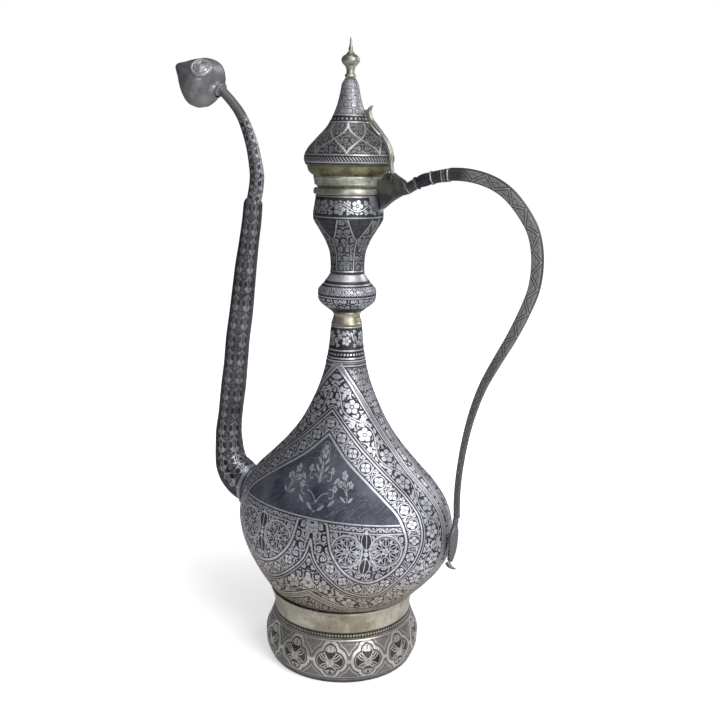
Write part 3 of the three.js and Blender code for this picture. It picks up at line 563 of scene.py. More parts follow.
def meets_body(gap):
    """For each side of a tube, where along its line it comes out of the body by a gap."""
    def start(ring, sides):
        begin = np.zeros(sides)
        for value in np.arange(0, 60, 0.25):
            row, _ = ring(np.full(sides, value))
            begin = np.where(stand_off(row) < gap, value + 0.25, begin)
        return begin
    return start


# %% Lower tube
lower_tube = swept("spout_lower", spout_points, spout_stops[:-1] + drawn_in, 0.9, sides=48,
                   thin=WALL, start=meets_body(0.2))
tube_places = np.array([v.co for v in lower_tube.data.vertices]) / MM - [AXIS, 0, 0]
off_body = lower_tube.data.attributes.new("off_body", "FLOAT", "POINT")
off_body.data.foreach_set("value", stand_off(tube_places).astype(np.float32))

# %% [markdown]
# ## Ferrule
# A low ring covers the seam where the spout's root meets the body. It is a strip of the same tube,
# made a little wider and cut off at two distances from the body.

# %% Ferrule
FERRULE_SHARE, FERRULE_OVER = 0.18, 0.9
FERRULE_LOW, FERRULE_HIGH = 0.25, 3.3
FERRULE_SIDES = 48
last = int(np.searchsorted(spout_runs, spout_full * FERRULE_SHARE)) + 1
ferrule_points = spout_points[:last]
ferrule_full = run_of(ferrule_points)[-1]
ferrule_stops = [[s * spout_full / ferrule_full, d + FERRULE_OVER, w + FERRULE_OVER]
                 for s, d, w in spout_stops[:last]]
FERRULE_SECTION = [(-0.7, FERRULE_LOW), (0.0, FERRULE_LOW), (0.35, FERRULE_LOW + 0.5),
                   (0.4, (FERRULE_LOW + FERRULE_HIGH) / 2), (0.3, FERRULE_HIGH - 0.5),
                   (-0.1, FERRULE_HIGH), (-0.7, FERRULE_HIGH)]


def ferrule_rows():
    """Rows round the ring: for each place of its section, the tube's points at that gap."""
    points, _, depth, width, way = along_line(ferrule_points, 0.25, ferrule_stops)
    angle = angles(FERRULE_SIDES)
    rows = []
    for grow, gap in FERRULE_SECTION:
        q = (depth + grow)[:, None] * np.cos(angle)
        y = (width + grow)[:, None] * np.sin(angle)
        tube = np.stack([points[:, 0:1] - way[:, 1:2] * q, y, points[:, 1:2] + way[:, 0:1] * q], -1)
        first = np.argmax(stand_off(tube) > gap, axis=0)
        rows.append(tube[first, np.arange(FERRULE_SIDES)])
    return rows


skin("spout_ferrule", ferrule_rows(), closed=True, sharp=60)

# %% [markdown]
# ## Upper tube
# A thinner tube is pushed into the drawn-in end of the lower one and soldered there. It starts a
# little way down inside it and follows the last bend of the S up to the bud.

# %% Upper tube
UPPER_RISE, UPPER_RADIUS = 72.4, 4.5
UPPER_SHARES = [[-0.996, 0], [-0.985, 0.05], [-0.972, 0.12], [-0.965, 0.22], [-0.98, 0.33],
                [-1.002, 0.44], [-1.034, 0.55], [-1.077, 0.66], [-1.14, 0.78], [-1.24, 0.9], [-1.345, 1]]
UPPER_SIZES = [1.05, 1.12, 1.14, 1.13, 1.1, 1.04, 0.98, 0.93, 0.86, 0.78, 0.72, 0.72]
PUSHED_IN = 8.8
top = np.array(spout_points[-1])
top_way = top - np.array(spout_points[-2])
top_way /= np.linalg.norm(top_way)
upper_points = [list(top - top_way * PUSHED_IN)]
upper_points += [[-top[0] * x, top[1] + UPPER_RISE * z] for x, z in UPPER_SHARES]
upper_runs = run_of(upper_points)
upper_stops = [[run / upper_runs[-1], UPPER_RADIUS * s, UPPER_RADIUS * s]
               for run, s in zip(upper_runs, UPPER_SIZES)]
swept("spout_upper", upper_points, upper_stops, 0.7, thin=0.9, shift=-0.4)

# %% [markdown]
# ## Bud
# The spout ends in a hollow bud like a tulip, hammered over folds and drawn to a point, with a
# small boss on each side. Its skin is lobed like petals, deepest at the middle and gone at the tip.

# %% Seat and tilt of the bud
BUD_TILT = math.radians(27.5)
bud_way = np.array([-math.cos(BUD_TILT), math.sin(BUD_TILT)])
seat = np.array(upper_points[-1])
bud_seat = seat + np.array([-2.0, -1.4])
seat_way = smooth_line(upper_points, 0.5)
seat_way = seat_way[-1] - seat_way[-2]
seat_way /= np.linalg.norm(seat_way)


def tilted(rows, foot, way):
    """Lays rows that were made upright along a way in the plane of the spout."""
    x, y, z = np.moveaxis(rows, -1, 0)
    return np.stack([foot[0] + way[1] * x + way[0] * z, y, foot[1] - way[0] * x + way[1] * z], -1)


print("bud sits at", seat.round(1), "and points", bud_way.round(2))

# %% Bud
BUD_LENGTH, BUD_RADIUS = 41.3, 17.8
BUD_SHARES = [(0, 0.22), (0.05, 0.23), (0.1, 0.3), (0.13, 0.42), (0.15, 0.59), (0.18, 0.77),
              (0.23, 0.91), (0.3, 0.985), (0.37, 1), (0.48, 0.945), (0.61, 0.78), (0.74, 0.57),
              (0.84, 0.39), (0.93, 0.25), (0.97, 0.185), (0.99, 0.15), (1, 0.11)]
BUD_SIDES = 96
BUD_WALL, BUD_BORE, LIP_RADIUS = 1.5, 1.6, 2.0
PETALS, PETAL_TURN, PETAL_DEPTH = 3, 0.4, 0.055
CREASES, CREASE_TWIST, CREASE_DEPTH = 14, 5, 0.16
BUD_DRAWN_IN = 0.25


def bud_rows():
    """The bud from its foot to the lip, and back down inside."""
    heights = np.linspace(0, 1, 90)
    radius = steady(*zip(*BUD_SHARES), heights)[:, None] * BUD_RADIUS
    angle = angles(BUD_SIDES)[None, :]
    petal = np.abs(np.sin(angle * PETALS + PETAL_TURN)) ** 0.55
    fold = np.sin(np.pi * heights)[:, None] ** 0.8
    crease = CREASE_DEPTH * np.sin(angle * CREASES + heights[:, None] * CREASE_TWIST) * fold ** 3
    outer = radius * (1 - PETAL_DEPTH * fold * (1 - petal)) + crease - BUD_DRAWN_IN
    inner_at = np.linspace(0.985, 0.05, 16)
    inner = np.maximum(steady(*zip(*BUD_SHARES), inner_at) * BUD_RADIUS - BUD_WALL, BUD_BORE)
    return np.concatenate([round_rows(outer, heights * BUD_LENGTH, BUD_SIDES),
                           round_rows([LIP_RADIUS], [BUD_LENGTH], BUD_SIDES),
                           round_rows(inner, inner_at * BUD_LENGTH, BUD_SIDES)])


TIP_RING = [(0.3, 2.0), (0.3, 4.3), (0.8, 5.0), (1.6, 5.2), (2.4, 5.0), (2.9, 4.4), (2.9, 2.0)]
ring_heights, ring_radii = zip(*TIP_RING)
ring_rows = round_rows(ring_radii, ring_heights, 48)
skin("spout_bud", tilted(bud_rows(), bud_seat, bud_way), closed=True, sharp=60)
skin("spout_tip_ring", tilted(ring_rows, seat, seat_way), closed=True)

# %% [markdown]
# ## Rosettes
# A small cast boss is soldered to each side of the bud. It is a dish with a raised rim, a lobed
# ring inside it and a button in the middle, bent to lie on the bud. The near one is seen in the
# photograph; the far one is its guessed twin.

# %% Rosettes
ROSETTE_SHAPE = [(0, -1.4), (7.2, -1.4), (7.6, -0.4), (7.5, 0.6), (7.0, 1.2), (6.2, 1.15),
                 (5.7, 0.7), (5.2, 0.75), (4.7, 1.3), (4.0, 1.45), (3.5, 1.0), (3.1, 1.05),
                 (2.7, 1.6), (2.0, 1.8), (1.6, 1.45), (1.2, 1.6), (0.7, 2.0), (0, 2.1)]
BEND_ALONG, BEND_ACROSS = 60, 40
LOBES, LOBE_DEPTH = 6, 0.07
ROSETTE_SIDES = 64


def rosette(name, side, share, lean, height):
    """A domed boss with a raised rim and a small flower, bent round the bud's side."""
    radii, heights = np.array(ROSETTE_SHAPE).T
    petalled = (radii > 1) & (radii < 5.5)
    lobes = petalled[:, None] * LOBE_DEPTH * np.cos(angles(ROSETTE_SIDES) * LOBES)
    rows = round_rows(radii[:, None] * (1 + lobes), heights, ROSETTE_SIDES)
    x, y, z = np.moveaxis(rows, -1, 0)
    z = z + height - (x ** 2 / BEND_ALONG + y ** 2 / BEND_ACROSS)
    lean = side * math.radians(lean)
    y, z = y * math.cos(lean) - z * math.sin(lean), y * math.sin(lean) + z * math.cos(lean)
    middle = bud_seat + bud_way * BUD_LENGTH * share
    turned_x = x * math.cos(BUD_TILT) + z * math.sin(BUD_TILT)
    turned_z = z * math.cos(BUD_TILT) - x * math.sin(BUD_TILT)
    placed = np.stack([middle[0] + turned_x, y, middle[1] + turned_z], -1)
    skin(name, placed, caps=False, sharp=50)


rosette("spout_rosette_near", 1, 0.325, 45, 16.9)
rosette("spout_rosette_far", -1, 0.42, 49, 16.0)

# %% [markdown]
# ## Handle
# One bent line carries a socket, a turned bead, a ribbed ferrule and the long bar, which thins as
# it comes down. The line is written as shares of the handle's reach and height, and each piece
# takes the stretch of it that is its own.

# %% Handle line
HANDLE_REACH, HANDLE_FOOT, HANDLE_RISE = 129.7, 117, 220
FOOT_REACH = 84.95
ARCH = [[0.33, 0.958], [0.39, 0.9775], [0.463, 0.991], [0.54, 0.999], [0.617, 1], [0.694, 0.9935],
        [0.77, 0.979], [0.839, 0.955], [0.895, 0.923], [0.936, 0.892], [0.968, 0.861],
        [0.991, 0.818], [1, 0.759]]
GRIP = [[0.968, 0.7], [0.849, 0.631], [0.69, 0.56], [0.499, 0.487], [0.316, 0.412], [0.188, 0.337],
        [0.0986, 0.262], [0.0377, 0.187], [0, 0.111], [-0.0087, 0.055], [0, 0]]
handle_points = [[HANDLE_REACH * x, HANDLE_FOOT + HANDLE_RISE * z] for x, z in ARCH]
handle_points += [[FOOT_REACH + (HANDLE_REACH - FOOT_REACH) * x, HANDLE_FOOT + HANDLE_RISE * z]
                  for x, z in GRIP]
handle_line = smooth_line(handle_points, 0.5)
handle_run = run_of(handle_line)


def stretch(start, length):
    """The part of the handle's line between two distances along it."""
    at = np.linspace(start, start + length, max(6, int(length / 1.5)))
    return np.stack([np.interp(at, handle_run, handle_line[:, k]) for k in (0, 1)], 1)


SOCKET_LENGTH, BEAD_LENGTH, FERRULE_LENGTH, GAP = 6.2, 12.9, 10.8, 0.3
BEAD_START = SOCKET_LENGTH + GAP
FERRULE_START = BEAD_START + BEAD_LENGTH + GAP
BAR_START = FERRULE_START + FERRULE_LENGTH + GAP
BAR_LENGTH = handle_run[-1] - BAR_START
print("handle runs", round(handle_run[-1]), "mm, its bar", round(BAR_LENGTH), "mm")

# %% Handle pieces
BAR_SHIFT = 0.45
BAR_DEPTHS = [4.0, 3.9, 3.75, 3.6, 3.5, 3.3, 2.9, 2.4, 2.05, 1.9, 1.9]
BAR_WIDTHS = [2.3, 2.25, 2.2, 2.15, 2.1, 2.05, 1.95, 1.8, 1.65, 1.6, 1.6]
BEAD_RADIUS = 4.05
BEAD_SHARES = [[0, 0.8], [0.03, 1.0], [0.07, 1.04], [0.11, 0.99], [0.14, 0.84], [0.2, 0.87],
               [0.35, 0.97], [0.5, 1.0], [0.6, 1], [0.74, 0.96], [0.83, 0.89], [0.86, 0.98],
               [0.91, 1.07], [0.96, 1.05], [1, 0.9]]
HANDLE_FERRULE_STOPS = [[0, 3.9, 3.4], [0.8, 4.1, 3.5], [0.9, 4.2, 3.6], [1, 4.0, 3.4]]
SOCKET_STOPS = [[0, 3.4, 3.05], [0.3, 3.5, 3.1], [0.75, 3.5, 3.1], [1, 3.2, 2.9]]
RIB_START, RIB_COUNT, RIB_DEPTH = 0.4, 5.4, 0.035


def ribs(share):
    """How the ferrule swells along it: plain at first, then turned into ribs."""
    return 0.97 + RIB_DEPTH * np.cos(share * 2 * math.pi * RIB_COUNT) * (share > RIB_START)


bar_stops = [[i / 10, d, w] for i, (d, w) in enumerate(zip(BAR_DEPTHS, BAR_WIDTHS))]
bead_stops = [[share, BEAD_RADIUS * r, BEAD_RADIUS * r] for share, r in BEAD_SHARES]
swept("handle_bar", stretch(BAR_START, BAR_LENGTH), bar_stops, 0.9, power=5, shift=BAR_SHIFT)
swept("handle_bead", stretch(BEAD_START, BEAD_LENGTH), bead_stops, 0.25, sides=40)
swept("handle_ferrule", stretch(FERRULE_START, FERRULE_LENGTH), HANDLE_FERRULE_STOPS, 0.25,
      sides=36, power=2.6, ribs=ribs)
swept("handle_socket", stretch(0, SOCKET_LENGTH), SOCKET_STOPS, 0.4, sides=36)

# %% [markdown]
# ## Leaf and tail
# The bar ends in a pointed leaf that is soldered flat to the body, where it holds the handle's
# pull, and a small curled tail finishes it. Both follow the body's side, so their lines are given
# as distances off it.

# %% Leaf and tail
LEAF_TOP = 116.7
LEAF_STOPS = [[0, 1.7, 1.7], [0.08, 2.1, 2.3], [0.14, 1.8, 2.0], [0.3, 2.7, 4.6], [0.42, 2.9, 5.4],
              [0.5, 2.9, 5.5], [0.62, 2.8, 5.1], [0.75, 2.6, 4.2], [0.86, 2.4, 3.0],
              [0.94, 2.2, 1.9], [1, 1.8, 0.9]]
TAIL_STOPS = [[0, 1.75, 1.75], [0.3, 1.65, 1.65], [0.6, 1.15, 1.15], [1, 0.35, 0.35]]
TAIL_CURL = [[0, 0], [1.6, -2.0], [3.6, -3.1], [6.3, -3.5]]


def off_side(z, out):
    """The point at a height that stands so far off the body's side."""
    return [float(side_at(z)) + out, z]


leaf_points = [[FOOT_REACH, LEAF_TOP]]
leaf_points += [off_side(LEAF_TOP - down, out) for down, out in ((12.4, 4.5), (23.2, 3.6), (31, 4.2))]
swept("handle_leaf", leaf_points, LEAF_STOPS, 0.4, sides=36, power=1.5)
tail_points = np.array(off_side(84.5, 2.9)) + TAIL_CURL
swept("handle_tail", tail_points, TAIL_STOPS, 0.3, sides=20)

# %% [markdown]
# ## Hinge
# Two cheeks stand on the cup's side and carry the pin. The web between them holds the socket of
# the handle, and a leaf of sheet spreads the load down the cup.

# %% Hinge cheeks and web
PIN = np.array([31.5, 333.6])
KNUCKLE = 2.7
CUP_SIDE, CHEEK_RIGHT = 23.3, 42.5
CHEEK_LOW = 314.2
CHEEK_WIDTH, CHEEK_RISE = CHEEK_RIGHT - CUP_SIDE, PIN[1] - CHEEK_LOW
CHEEK_UNDER = [[0.094, 0], [0.25, 0.12], [0.42, 0.255], [0.72, 0.43]]
CHEEK_CUP = [[0, 0.675], [0, 0.438], [0.069, 0.219]]
WEB_END = [[46.0, 326.6], [46.0, 329.5]]


def on_cheek(shares):
    """Points given as shares of the cheek's width and height."""
    return [[CUP_SIDE + CHEEK_WIDTH * x, CHEEK_LOW + CHEEK_RISE * z] for x, z in shares]


def round_pin(shares):
    """Points given as shares of the knuckle's radius, counted from the pin."""
    return [[PIN[0] + KNUCKLE * x, PIN[1] + KNUCKLE * z] for x, z in shares]


cheek_outline = on_cheek(CHEEK_UNDER + [[1, 0.604], [0.96, 0.84]])
cheek_outline += round_pin([[1.1, 0.85], [0.3, 1.36], [-0.9, 1.26], [-1.9, 0.55], [-2.6, -0.5]])
cheek_outline += on_cheek(CHEEK_CUP)
web_outline = on_cheek(CHEEK_UNDER) + WEB_END
web_outline += round_pin([[1.0, -1.35], [0.1, -1.3]]) + on_cheek([[0.084, 0.791]] + CHEEK_CUP)
plate("hinge_cheek_near", cheek_outline, -3.2, -1.6, bevel=0.5)
plate("hinge_cheek_far", cheek_outline, 1.6, 3.2, bevel=0.5)
plate("handle_web", web_outline, -1.3, 1.3, nodes=["handle_socket"], bevel=0.3)


# %% Pin
PIN_SIDES = 32
PIN_HEAD = [(1.5, 4.2), (1.95, 4.1), (2.1, 3.9), (2.1, 3.5), (1.5, 3.5)]


def at_pin(name, shape, body="vessel", nodes=None):
    """A turned piece lying along the pin: shape is (radius, y)."""
    across, high, y = np.moveaxis(round_rows(*zip(*shape), PIN_SIDES), -1, 0)
    rows = np.stack([PIN[0] + across, y, PIN[1] + high], -1)
    return skin(name, rows, body, nodes, sharp=50)


at_pin("hinge_pin", [(r, -y) for r, y in PIN_HEAD] + PIN_HEAD[::-1])

# %% Tongue
TONGUE_TOP, TONGUE_LENGTH, TONGUE_HALF = 322.4, 10.6, 9
TONGUE_INSIDE, TONGUE_OUTSIDE, TONGUE_THINS = 0.3, 1.5, 0.35
TONGUE_ROWS, TONGUE_COLUMNS = 24, 25


def tongue(name):
    """A leaf of sheet bent to lie on the cup's side, under the cheeks."""
    down = np.linspace(0, 1, TONGUE_ROWS)
    half = TONGUE_HALF * np.sqrt(np.clip(1 - down ** 1.8, 0, 1)) + 0.15
    heights = TONGUE_TOP - TONGUE_LENGTH * down
    across = np.linspace(-1, 1, TONGUE_COLUMNS)
    rows = []
    for z, h, r in zip(heights, half, steady(*zip(*CUP_LINE), heights)):
        turns = across * h / r
        outer = r + TONGUE_OUTSIDE - TONGUE_THINS * np.abs(across) ** 6
        radii = np.concatenate([outer, np.full(TONGUE_COLUMNS, r + TONGUE_INSIDE)])
        angle = np.concatenate([turns, turns[::-1]])
        rows.append(np.stack([radii * np.cos(angle), radii * np.sin(angle), z + 0 * angle], -1))
    skin(name, rows, sharp=50)


tongue("hinge_tongue")

# %% [markdown]
# ## Lid strap and thumb leaf
# The strap is rolled round the pin and climbs the back of the lid. A pointed leaf, with a notch
# below its curled tip, carries on above it for the thumb.

# %% Strap and knuckle
DOME_LOW, DOME_RISE, DOME_RADIUS = 341.0, 54.8, 29.4
STRAP_GAP, STRAP_HALF = 0.3, 0.9
STRAP_OUT = DOME_RADIUS + STRAP_GAP + STRAP_HALF
STRAP_CLIMB = [[0, 0.075], [-0.018, 0.175], [-0.1, 0.27], [-0.25, 0.375]]
STRAP_STOPS = [[0, 1.05, 1.55], [0.2, 1.05, 1.55], [0.36, 1.05, 1.6], [0.43, 1.05, 2.3],
               [0.6, 1.05, 2.35], [0.8, 1.05, 2.35], [1, 1.0, 2.1]]
KNUCKLE_SHAPE = [(1.6, -1.3), (2.5, -1.3), (2.7, -1.1), (2.7, 1.1), (2.5, 1.3), (1.6, 1.3)]
strap_points = round_pin([[0, 0.7], [-0.067, 2.07]])
strap_points += [[STRAP_OUT + DOME_RADIUS * x, DOME_LOW + DOME_RISE * z] for x, z in STRAP_CLIMB]
swept("lid_strap", strap_points, STRAP_STOPS, 0.4, "lid", sides=28, power=3.4)
at_pin("lid_knuckle", KNUCKLE_SHAPE, "lid", ["lid_strap"])

# %% Thumb leaf
THUMB_LOW, THUMB_RISE = DOME_LOW + DOME_RISE * 0.39, DOME_RISE * 0.3
THUMB_SHARES = [[0.811, 0], [0.72, 0.16], [0.64, 0.33], [0.575, 0.45], [0.54, 0.57], [0.515, 0.7],
                [0.505, 0.83], [0.525, 0.93], [0.556, 0.99], [0.5, 0.915], [0.455, 0.82],
                [0.41, 0.83], [0.37, 0.84], [0.375, 0.78], [0.385, 0.72], [0.44, 0.6],
                [0.51, 0.43], [0.58, 0.26], [0.66, 0.11], [0.756, -0.033]]
thumb_outline = [[DOME_RADIUS * x, THUMB_LOW + THUMB_RISE * z] for x, z in THUMB_SHARES]
plate("lid_thumb_leaf", thumb_outline, -2.0, 2.0, "lid", bevel=0.3, spacing=0)
print(len(PIECES), "pieces")

# %% [markdown]
# ## Writing ornament as sums
# The ornament is drawn by the materials themselves. A small wrapper lets a wire of the node tree
# be added, multiplied and compared like a number, so each motif can be written as a short sum.
# Each motif is a node group that gives one mask: 0 is dark ground and 1 is bright metal.

# %% Wires
class Wire:
    """One output in a node tree, which can be used in sums."""

    def __init__(self, tree, socket):
        self.tree, self.socket = tree, socket

    def __add__(self, other):
        return op("ADD", self, other)

    def __sub__(self, other):
        return op("SUBTRACT", self, other)

    def __mul__(self, other):
        return op("MULTIPLY", self, other)

    def __truediv__(self, other):
        return op("DIVIDE", self, other)

    __radd__ = __add__
    __rmul__ = __mul__

    def __rsub__(self, other):
        return op("SUBTRACT", other, self)

    def __neg__(self):
        return op("MULTIPLY", self, -1.0)


# %% Nodes
def tree_of(*values):
    """The node tree that the wires among some values belong to."""
    return next(value.tree for value in values if isinstance(value, Wire))


def plug(socket, value):
    """Joins a wire to a socket, or sets the socket to a plain value."""
    if isinstance(value, Wire):
        value.tree.links.new(value.socket, socket)
    else:
        socket.default_value = value


def wire_of(tree, kind, output=0, **settings):
    """A new node's output. Settings are its inputs and its other properties, by name."""
    node = tree.nodes.new(kind)
    for key, value in settings.items():
        if key in node.inputs:
            plug(node.inputs[key], value)
        else:
            setattr(node, key, value)
    return Wire(tree, node.outputs[output])


def in_order(tree, kind, *values, **settings):
    """A new node's first output. Values are its inputs in their order, settings its properties."""
    node = tree.nodes.new(kind)
    for key, value in settings.items():
        setattr(node, key, value)
    for socket, value in zip(node.inputs, values):
        plug(socket, value)
    return Wire(tree, node.outputs[0])


def op(kind, *values):
    """One step of arithmetic on wires and plain numbers."""
    return in_order(tree_of(*values), "ShaderNodeMath", *values, operation=kind)


# %% [markdown]
# ## Words for drawing
# With a few short words an ornament can be written almost as it is drawn: a stroke where a number
# crosses zero, a shape under a limit, a repeat in cells. A mask may be cut by another one with
# both, and laid over it with either.

# %% Sums
def sin(a):
    return op("SINE", a)


def cos(a):
    return op("COSINE", a)


def size_of(a):
    return op("ABSOLUTE", a)


def fract(a):
    return op("FRACT", a)


def whole(a):
    return op("FLOOR", a)


def least(a, b):
    return op("MINIMUM", a, b)


def most(a, b):
    return op("MAXIMUM", a, b)


def far(a, b):
    return op("SQRT", a * a + b * b)


def both(*masks):
    """1 where all the masks are."""
    result = masks[0]
    for mask in masks[1:]:
        result = result * mask
    return result


def either(*masks):
    """1 where one of the masks is."""
    result = masks[0]
    for mask in masks[1:]:
        result = most(result, mask)
    return result


# %% Masks
EDGE = 0.22


def rise(value, low, high):
    """0 below low, 1 above high and smooth between them."""
    return wire_of(value.tree, "ShaderNodeMapRange", "Result", interpolation_type="SMOOTHSTEP",
                   **{"Value": value, "From Min": low, "From Max": high})


def steady_wire(value, low, high, at_low, at_high):
    """A wire that goes evenly from one number to another as a value goes from low to high."""
    ends = {"From Min": low, "From Max": high, "To Min": at_low, "To Max": at_high}
    return wire_of(value.tree, "ShaderNodeMapRange", "Result", Value=value, **ends)


def under(value, limit=0.0):
    """1 where the value is under the limit."""
    if isinstance(limit, Wire):
        value, limit = value - limit, 0.0
    return 1 - rise(value, limit - EDGE, limit + EDGE)


def over(value, limit=0.0):
    """1 where the value is over the limit."""
    return 1 - under(value, limit)


def between(value, low, high):
    """1 where the value lies between two numbers."""
    return under(size_of(value - (low + high) / 2), (high - low) / 2)


def stroke(value, half):
    """A line of half width half where the value crosses zero."""
    return under(size_of(value), half)


def cells(value, spacing):
    """The place within each repeat, from minus half to plus half a spacing."""
    return (fract(value / spacing) - 0.5) * spacing


def joined(x, y, z=0.0):
    """A vector of three numbers."""
    return wire_of(tree_of(x, y, z), "ShaderNodeCombineXYZ", X=x, Y=y, Z=z)


def noise(vector, scale, detail=2.0, roughness=0.5, stretch=None):
    """Cloudy numbers from 0 to 1; scale is per millimetre and stretch pulls the clouds out."""
    if stretch is not None:
        vector = in_order(vector.tree, "ShaderNodeVectorMath", vector, stretch, operation="MULTIPLY")
    return wire_of(vector.tree, "ShaderNodeTexNoise", Vector=vector, Scale=scale, Detail=detail,
                   Roughness=roughness)


# %% Groups
def group(name, build, outputs=("Mask",), **inputs):
    """A shader node group from a function of its input wires; None stands for a vector."""
    tree = bpy.data.node_groups.new(name, "ShaderNodeTree")
    kinds = {tuple: "NodeSocketColor", type(None): "NodeSocketVector"}
    for label, default in inputs.items():
        kind = kinds.get(type(default), "NodeSocketFloat")
        socket = tree.interface.new_socket(label, in_out="INPUT", socket_type=kind)
        if default is not None:
            socket.default_value = default
    for label in outputs:
        kind = "NodeSocketColor" if label == "Color" else "NodeSocketFloat"
        tree.interface.new_socket(label, in_out="OUTPUT", socket_type=kind)
    entry, leave = tree.nodes.new("NodeGroupInput"), tree.nodes.new("NodeGroupOutput")
    made = build(*(Wire(tree, entry.outputs[label]) for label in inputs))
    for label, wire in zip(outputs, made if isinstance(made, tuple) else (made,)):
        plug(leave.inputs[label], wire)
    print("group", name, "with", len(tree.nodes), "nodes")
    return tree


def use(shared, *values):
    """Puts a group into the tree of the wires it is given: one wire out, or a list of them."""
    tree = tree_of(*values)
    node = tree.nodes.new("ShaderNodeGroup")
    node.node_tree = shared
    for socket, value in zip(node.inputs, values):
        plug(socket, value)
    made = [Wire(tree, socket) for socket in node.outputs]
    return made[0] if len(made) == 1 else made


# %% [markdown]
# ## Motifs
# The engraver repeats a few motifs: a round flower with two to six petals, a row of ringed
# flowers, a wavy stem with flowers in its bends, leaf scrolls that fill a ground, rows of dots,
# zigzags with leaves, and four-lobed frames round the foot.

# %% Flower
def flower_sum(x, y, size, petals):
    """Petals round an eye, split by dark lines. 5 petals take 2.5 waves of a cosine round it."""
    r = far(x, y)
    a = op("ARCTAN2", y, x)
    lobe = size_of(cos(a * petals * 0.5))
    rim = size * (lobe * 0.36 + 0.64)
    filled = under(r - rim)
    split = rise(lobe, 0.1, 0.34)
    hollow = over(r - size * 0.3)
    eye = under(r - size * 0.17)
    return either(both(filled, split, hollow), eye)


FLOWER = group("flower", flower_sum, X=0.0, Y=0.0, Size=4.0, Petals=5.0)


# %% Leaf
def leaf_sum(x, y, length, half):
    """A pointed leaf along x."""
    share = x / length
    return both(under(size_of(y) - half * (1 - share * share)), under(size_of(x) - length))


def petal_sum(x, y, length, half):
    """A pointed petal along x, drawn with an outline and a midrib."""
    share = x / length
    off = size_of(y) - half * (1 - share * share)
    drawn = either(stroke(off + 0.3, 0.34), stroke(y, 0.26), over(size_of(x) - length * 0.72))
    return both(drawn, under(off), under(size_of(x) - length))


LEAF = group("leaf", leaf_sum, X=0.0, Y=0.0, Length=3.0, Half=1.0)
PETAL = group("petal", petal_sum, X=0.0, Y=0.0, Length=3.0, Half=1.0)


# %% Row of ringed flowers
def ringed_sum(along, across, spacing, size):
    """A row of flowers, each in a ring, held by two vines that cross between them."""
    u = cells(along, spacing)
    flower = use(FLOWER, u, across, size * 0.78, 4.0)
    ring = stroke(far(u, across) - size, 0.32)
    swell = size_of(sin(along / spacing * math.pi)) * (size + 1.7)
    vines = stroke(size_of(across) - swell, 0.34)
    half_on = cells(along + spacing * 0.5, spacing)
    corner = use(FLOWER, half_on, size_of(across) - size * 0.86, size * 0.42, 3.0)
    return either(flower, ring, vines, corner * over(size_of(across) - swell - 0.4))


RINGED = group("ringed flowers", ringed_sum, Along=0.0, Across=0.0, Spacing=12.5, Size=4.2)


# %% Wavy stem with flowers
def vine_sum(along, across, wave, swing, size):
    """A wavy stem with leaves along it, a flower in each bend and a smaller one in each corner."""
    phase = along / wave * (2 * math.pi)
    bow = sin(phase)
    slope = cos(phase) * swing * (2 * math.pi) / wave
    off = (across - bow * swing) / op("SQRT", slope * slope + 1)
    stem = stroke(off, 0.34)
    u = cells(along, wave * 0.5)
    hollow = across + op("SIGN", bow) * swing * 0.42
    flower = use(FLOWER, u, hollow, size, 5.0)
    sprig = cells(along + off * 0.6, wave * 0.125)
    leaves = use(LEAF, sprig, size_of(off) - size * 0.36, wave * 0.05, size * 0.18)
    half_on = cells(along + wave * 0.25, wave * 0.5)
    corner = use(FLOWER, half_on, size_of(across) - swing * 1.25, size * 0.42, 3.0)
    apart = over(size_of(off), 0.7)
    return either(stem, flower * apart, leaves * over(far(u, hollow) - size - 0.5), corner * apart)


VINE = group("stem with flowers", vine_sum, Along=0.0, Across=0.0, Wave=56.0, Swing=5.0, Size=4.2)


# %% Leaf scroll that fills a ground
def scroll_sum(u, v, size):
    """Curls round small flowers, in rows shifted by half a cell; every other curl is turned over,
    and each starts at an angle of its own."""
    row = whole(v / size)
    shifted = u / size + row * 0.5
    column = whole(shifted)
    x = (fract(shifted) - 0.5) * size
    y = (fract(v / size) - 0.5) * size
    parity = fract((column + row) * 0.5) * 4 - 1
    x = x * parity
    r = far(x, y)
    a = op("ARCTAN2", y, x)
    chance = wire_of(u.tree, "ShaderNodeTexWhiteNoise", 0, noise_dimensions="2D", Vector=joined(column, row))
    curl = fract(r / size * 2.6 + a / (2 * math.pi) + chance) - 0.5
    swell = cos(a * 4 + r / size * 14) * 0.1 + 0.17
    line = under(size_of(curl) * 2.2 - swell * 2.2) * over(r - size * 0.17)
    petals = use(FLOWER, x, y, size * 0.24, 5.0)
    ends = use(FLOWER, size_of(x) - size * 0.5, size_of(y) - size * 0.5, size * 0.2, 4.0)
    return either(line * under(r - size * 0.53), petals, ends)


SCROLL = group("leaf scroll", scroll_sum, U=0.0, V=0.0, Size=7.0)


# %% Dots and zigzag
def dots_sum(along, across, spacing, size):
    """A row of round punch marks."""
    return under(far(cells(along, spacing), across) - size)


def zigzag_sum(along, across, period, half):
    """A bright zigzag line in a dark channel, with a soft grey leaf in each triangle beside it."""
    tooth = (op("PINGPONG", along, period * 0.5) / (period * 0.25) - 1) * half
    off = (across - tooth) * 0.84
    side = op("SIGN", off)
    middle = size_of(cells(along + period * 0.25 + side * period * 0.25, period))
    slit = stroke(middle * 0.5 + (across * side) - half * 0.6, 0.16) * under(middle, period * 0.17)
    leaf = over(size_of(off), 1.05) * under(size_of(across), half + 0.25) * (1 - slit) * 0.62
    return either(stroke(size_of(off) - 0.15, 0.3) * 0.8, leaf)


DOTS = group("dots", dots_sum, Along=0.0, Across=0.0, Spacing=1.6, Size=0.5)
ZIGZAG = group("zigzag", zigzag_sum, Along=0.0, Across=0.0, Period=15.5, Half=2.6)


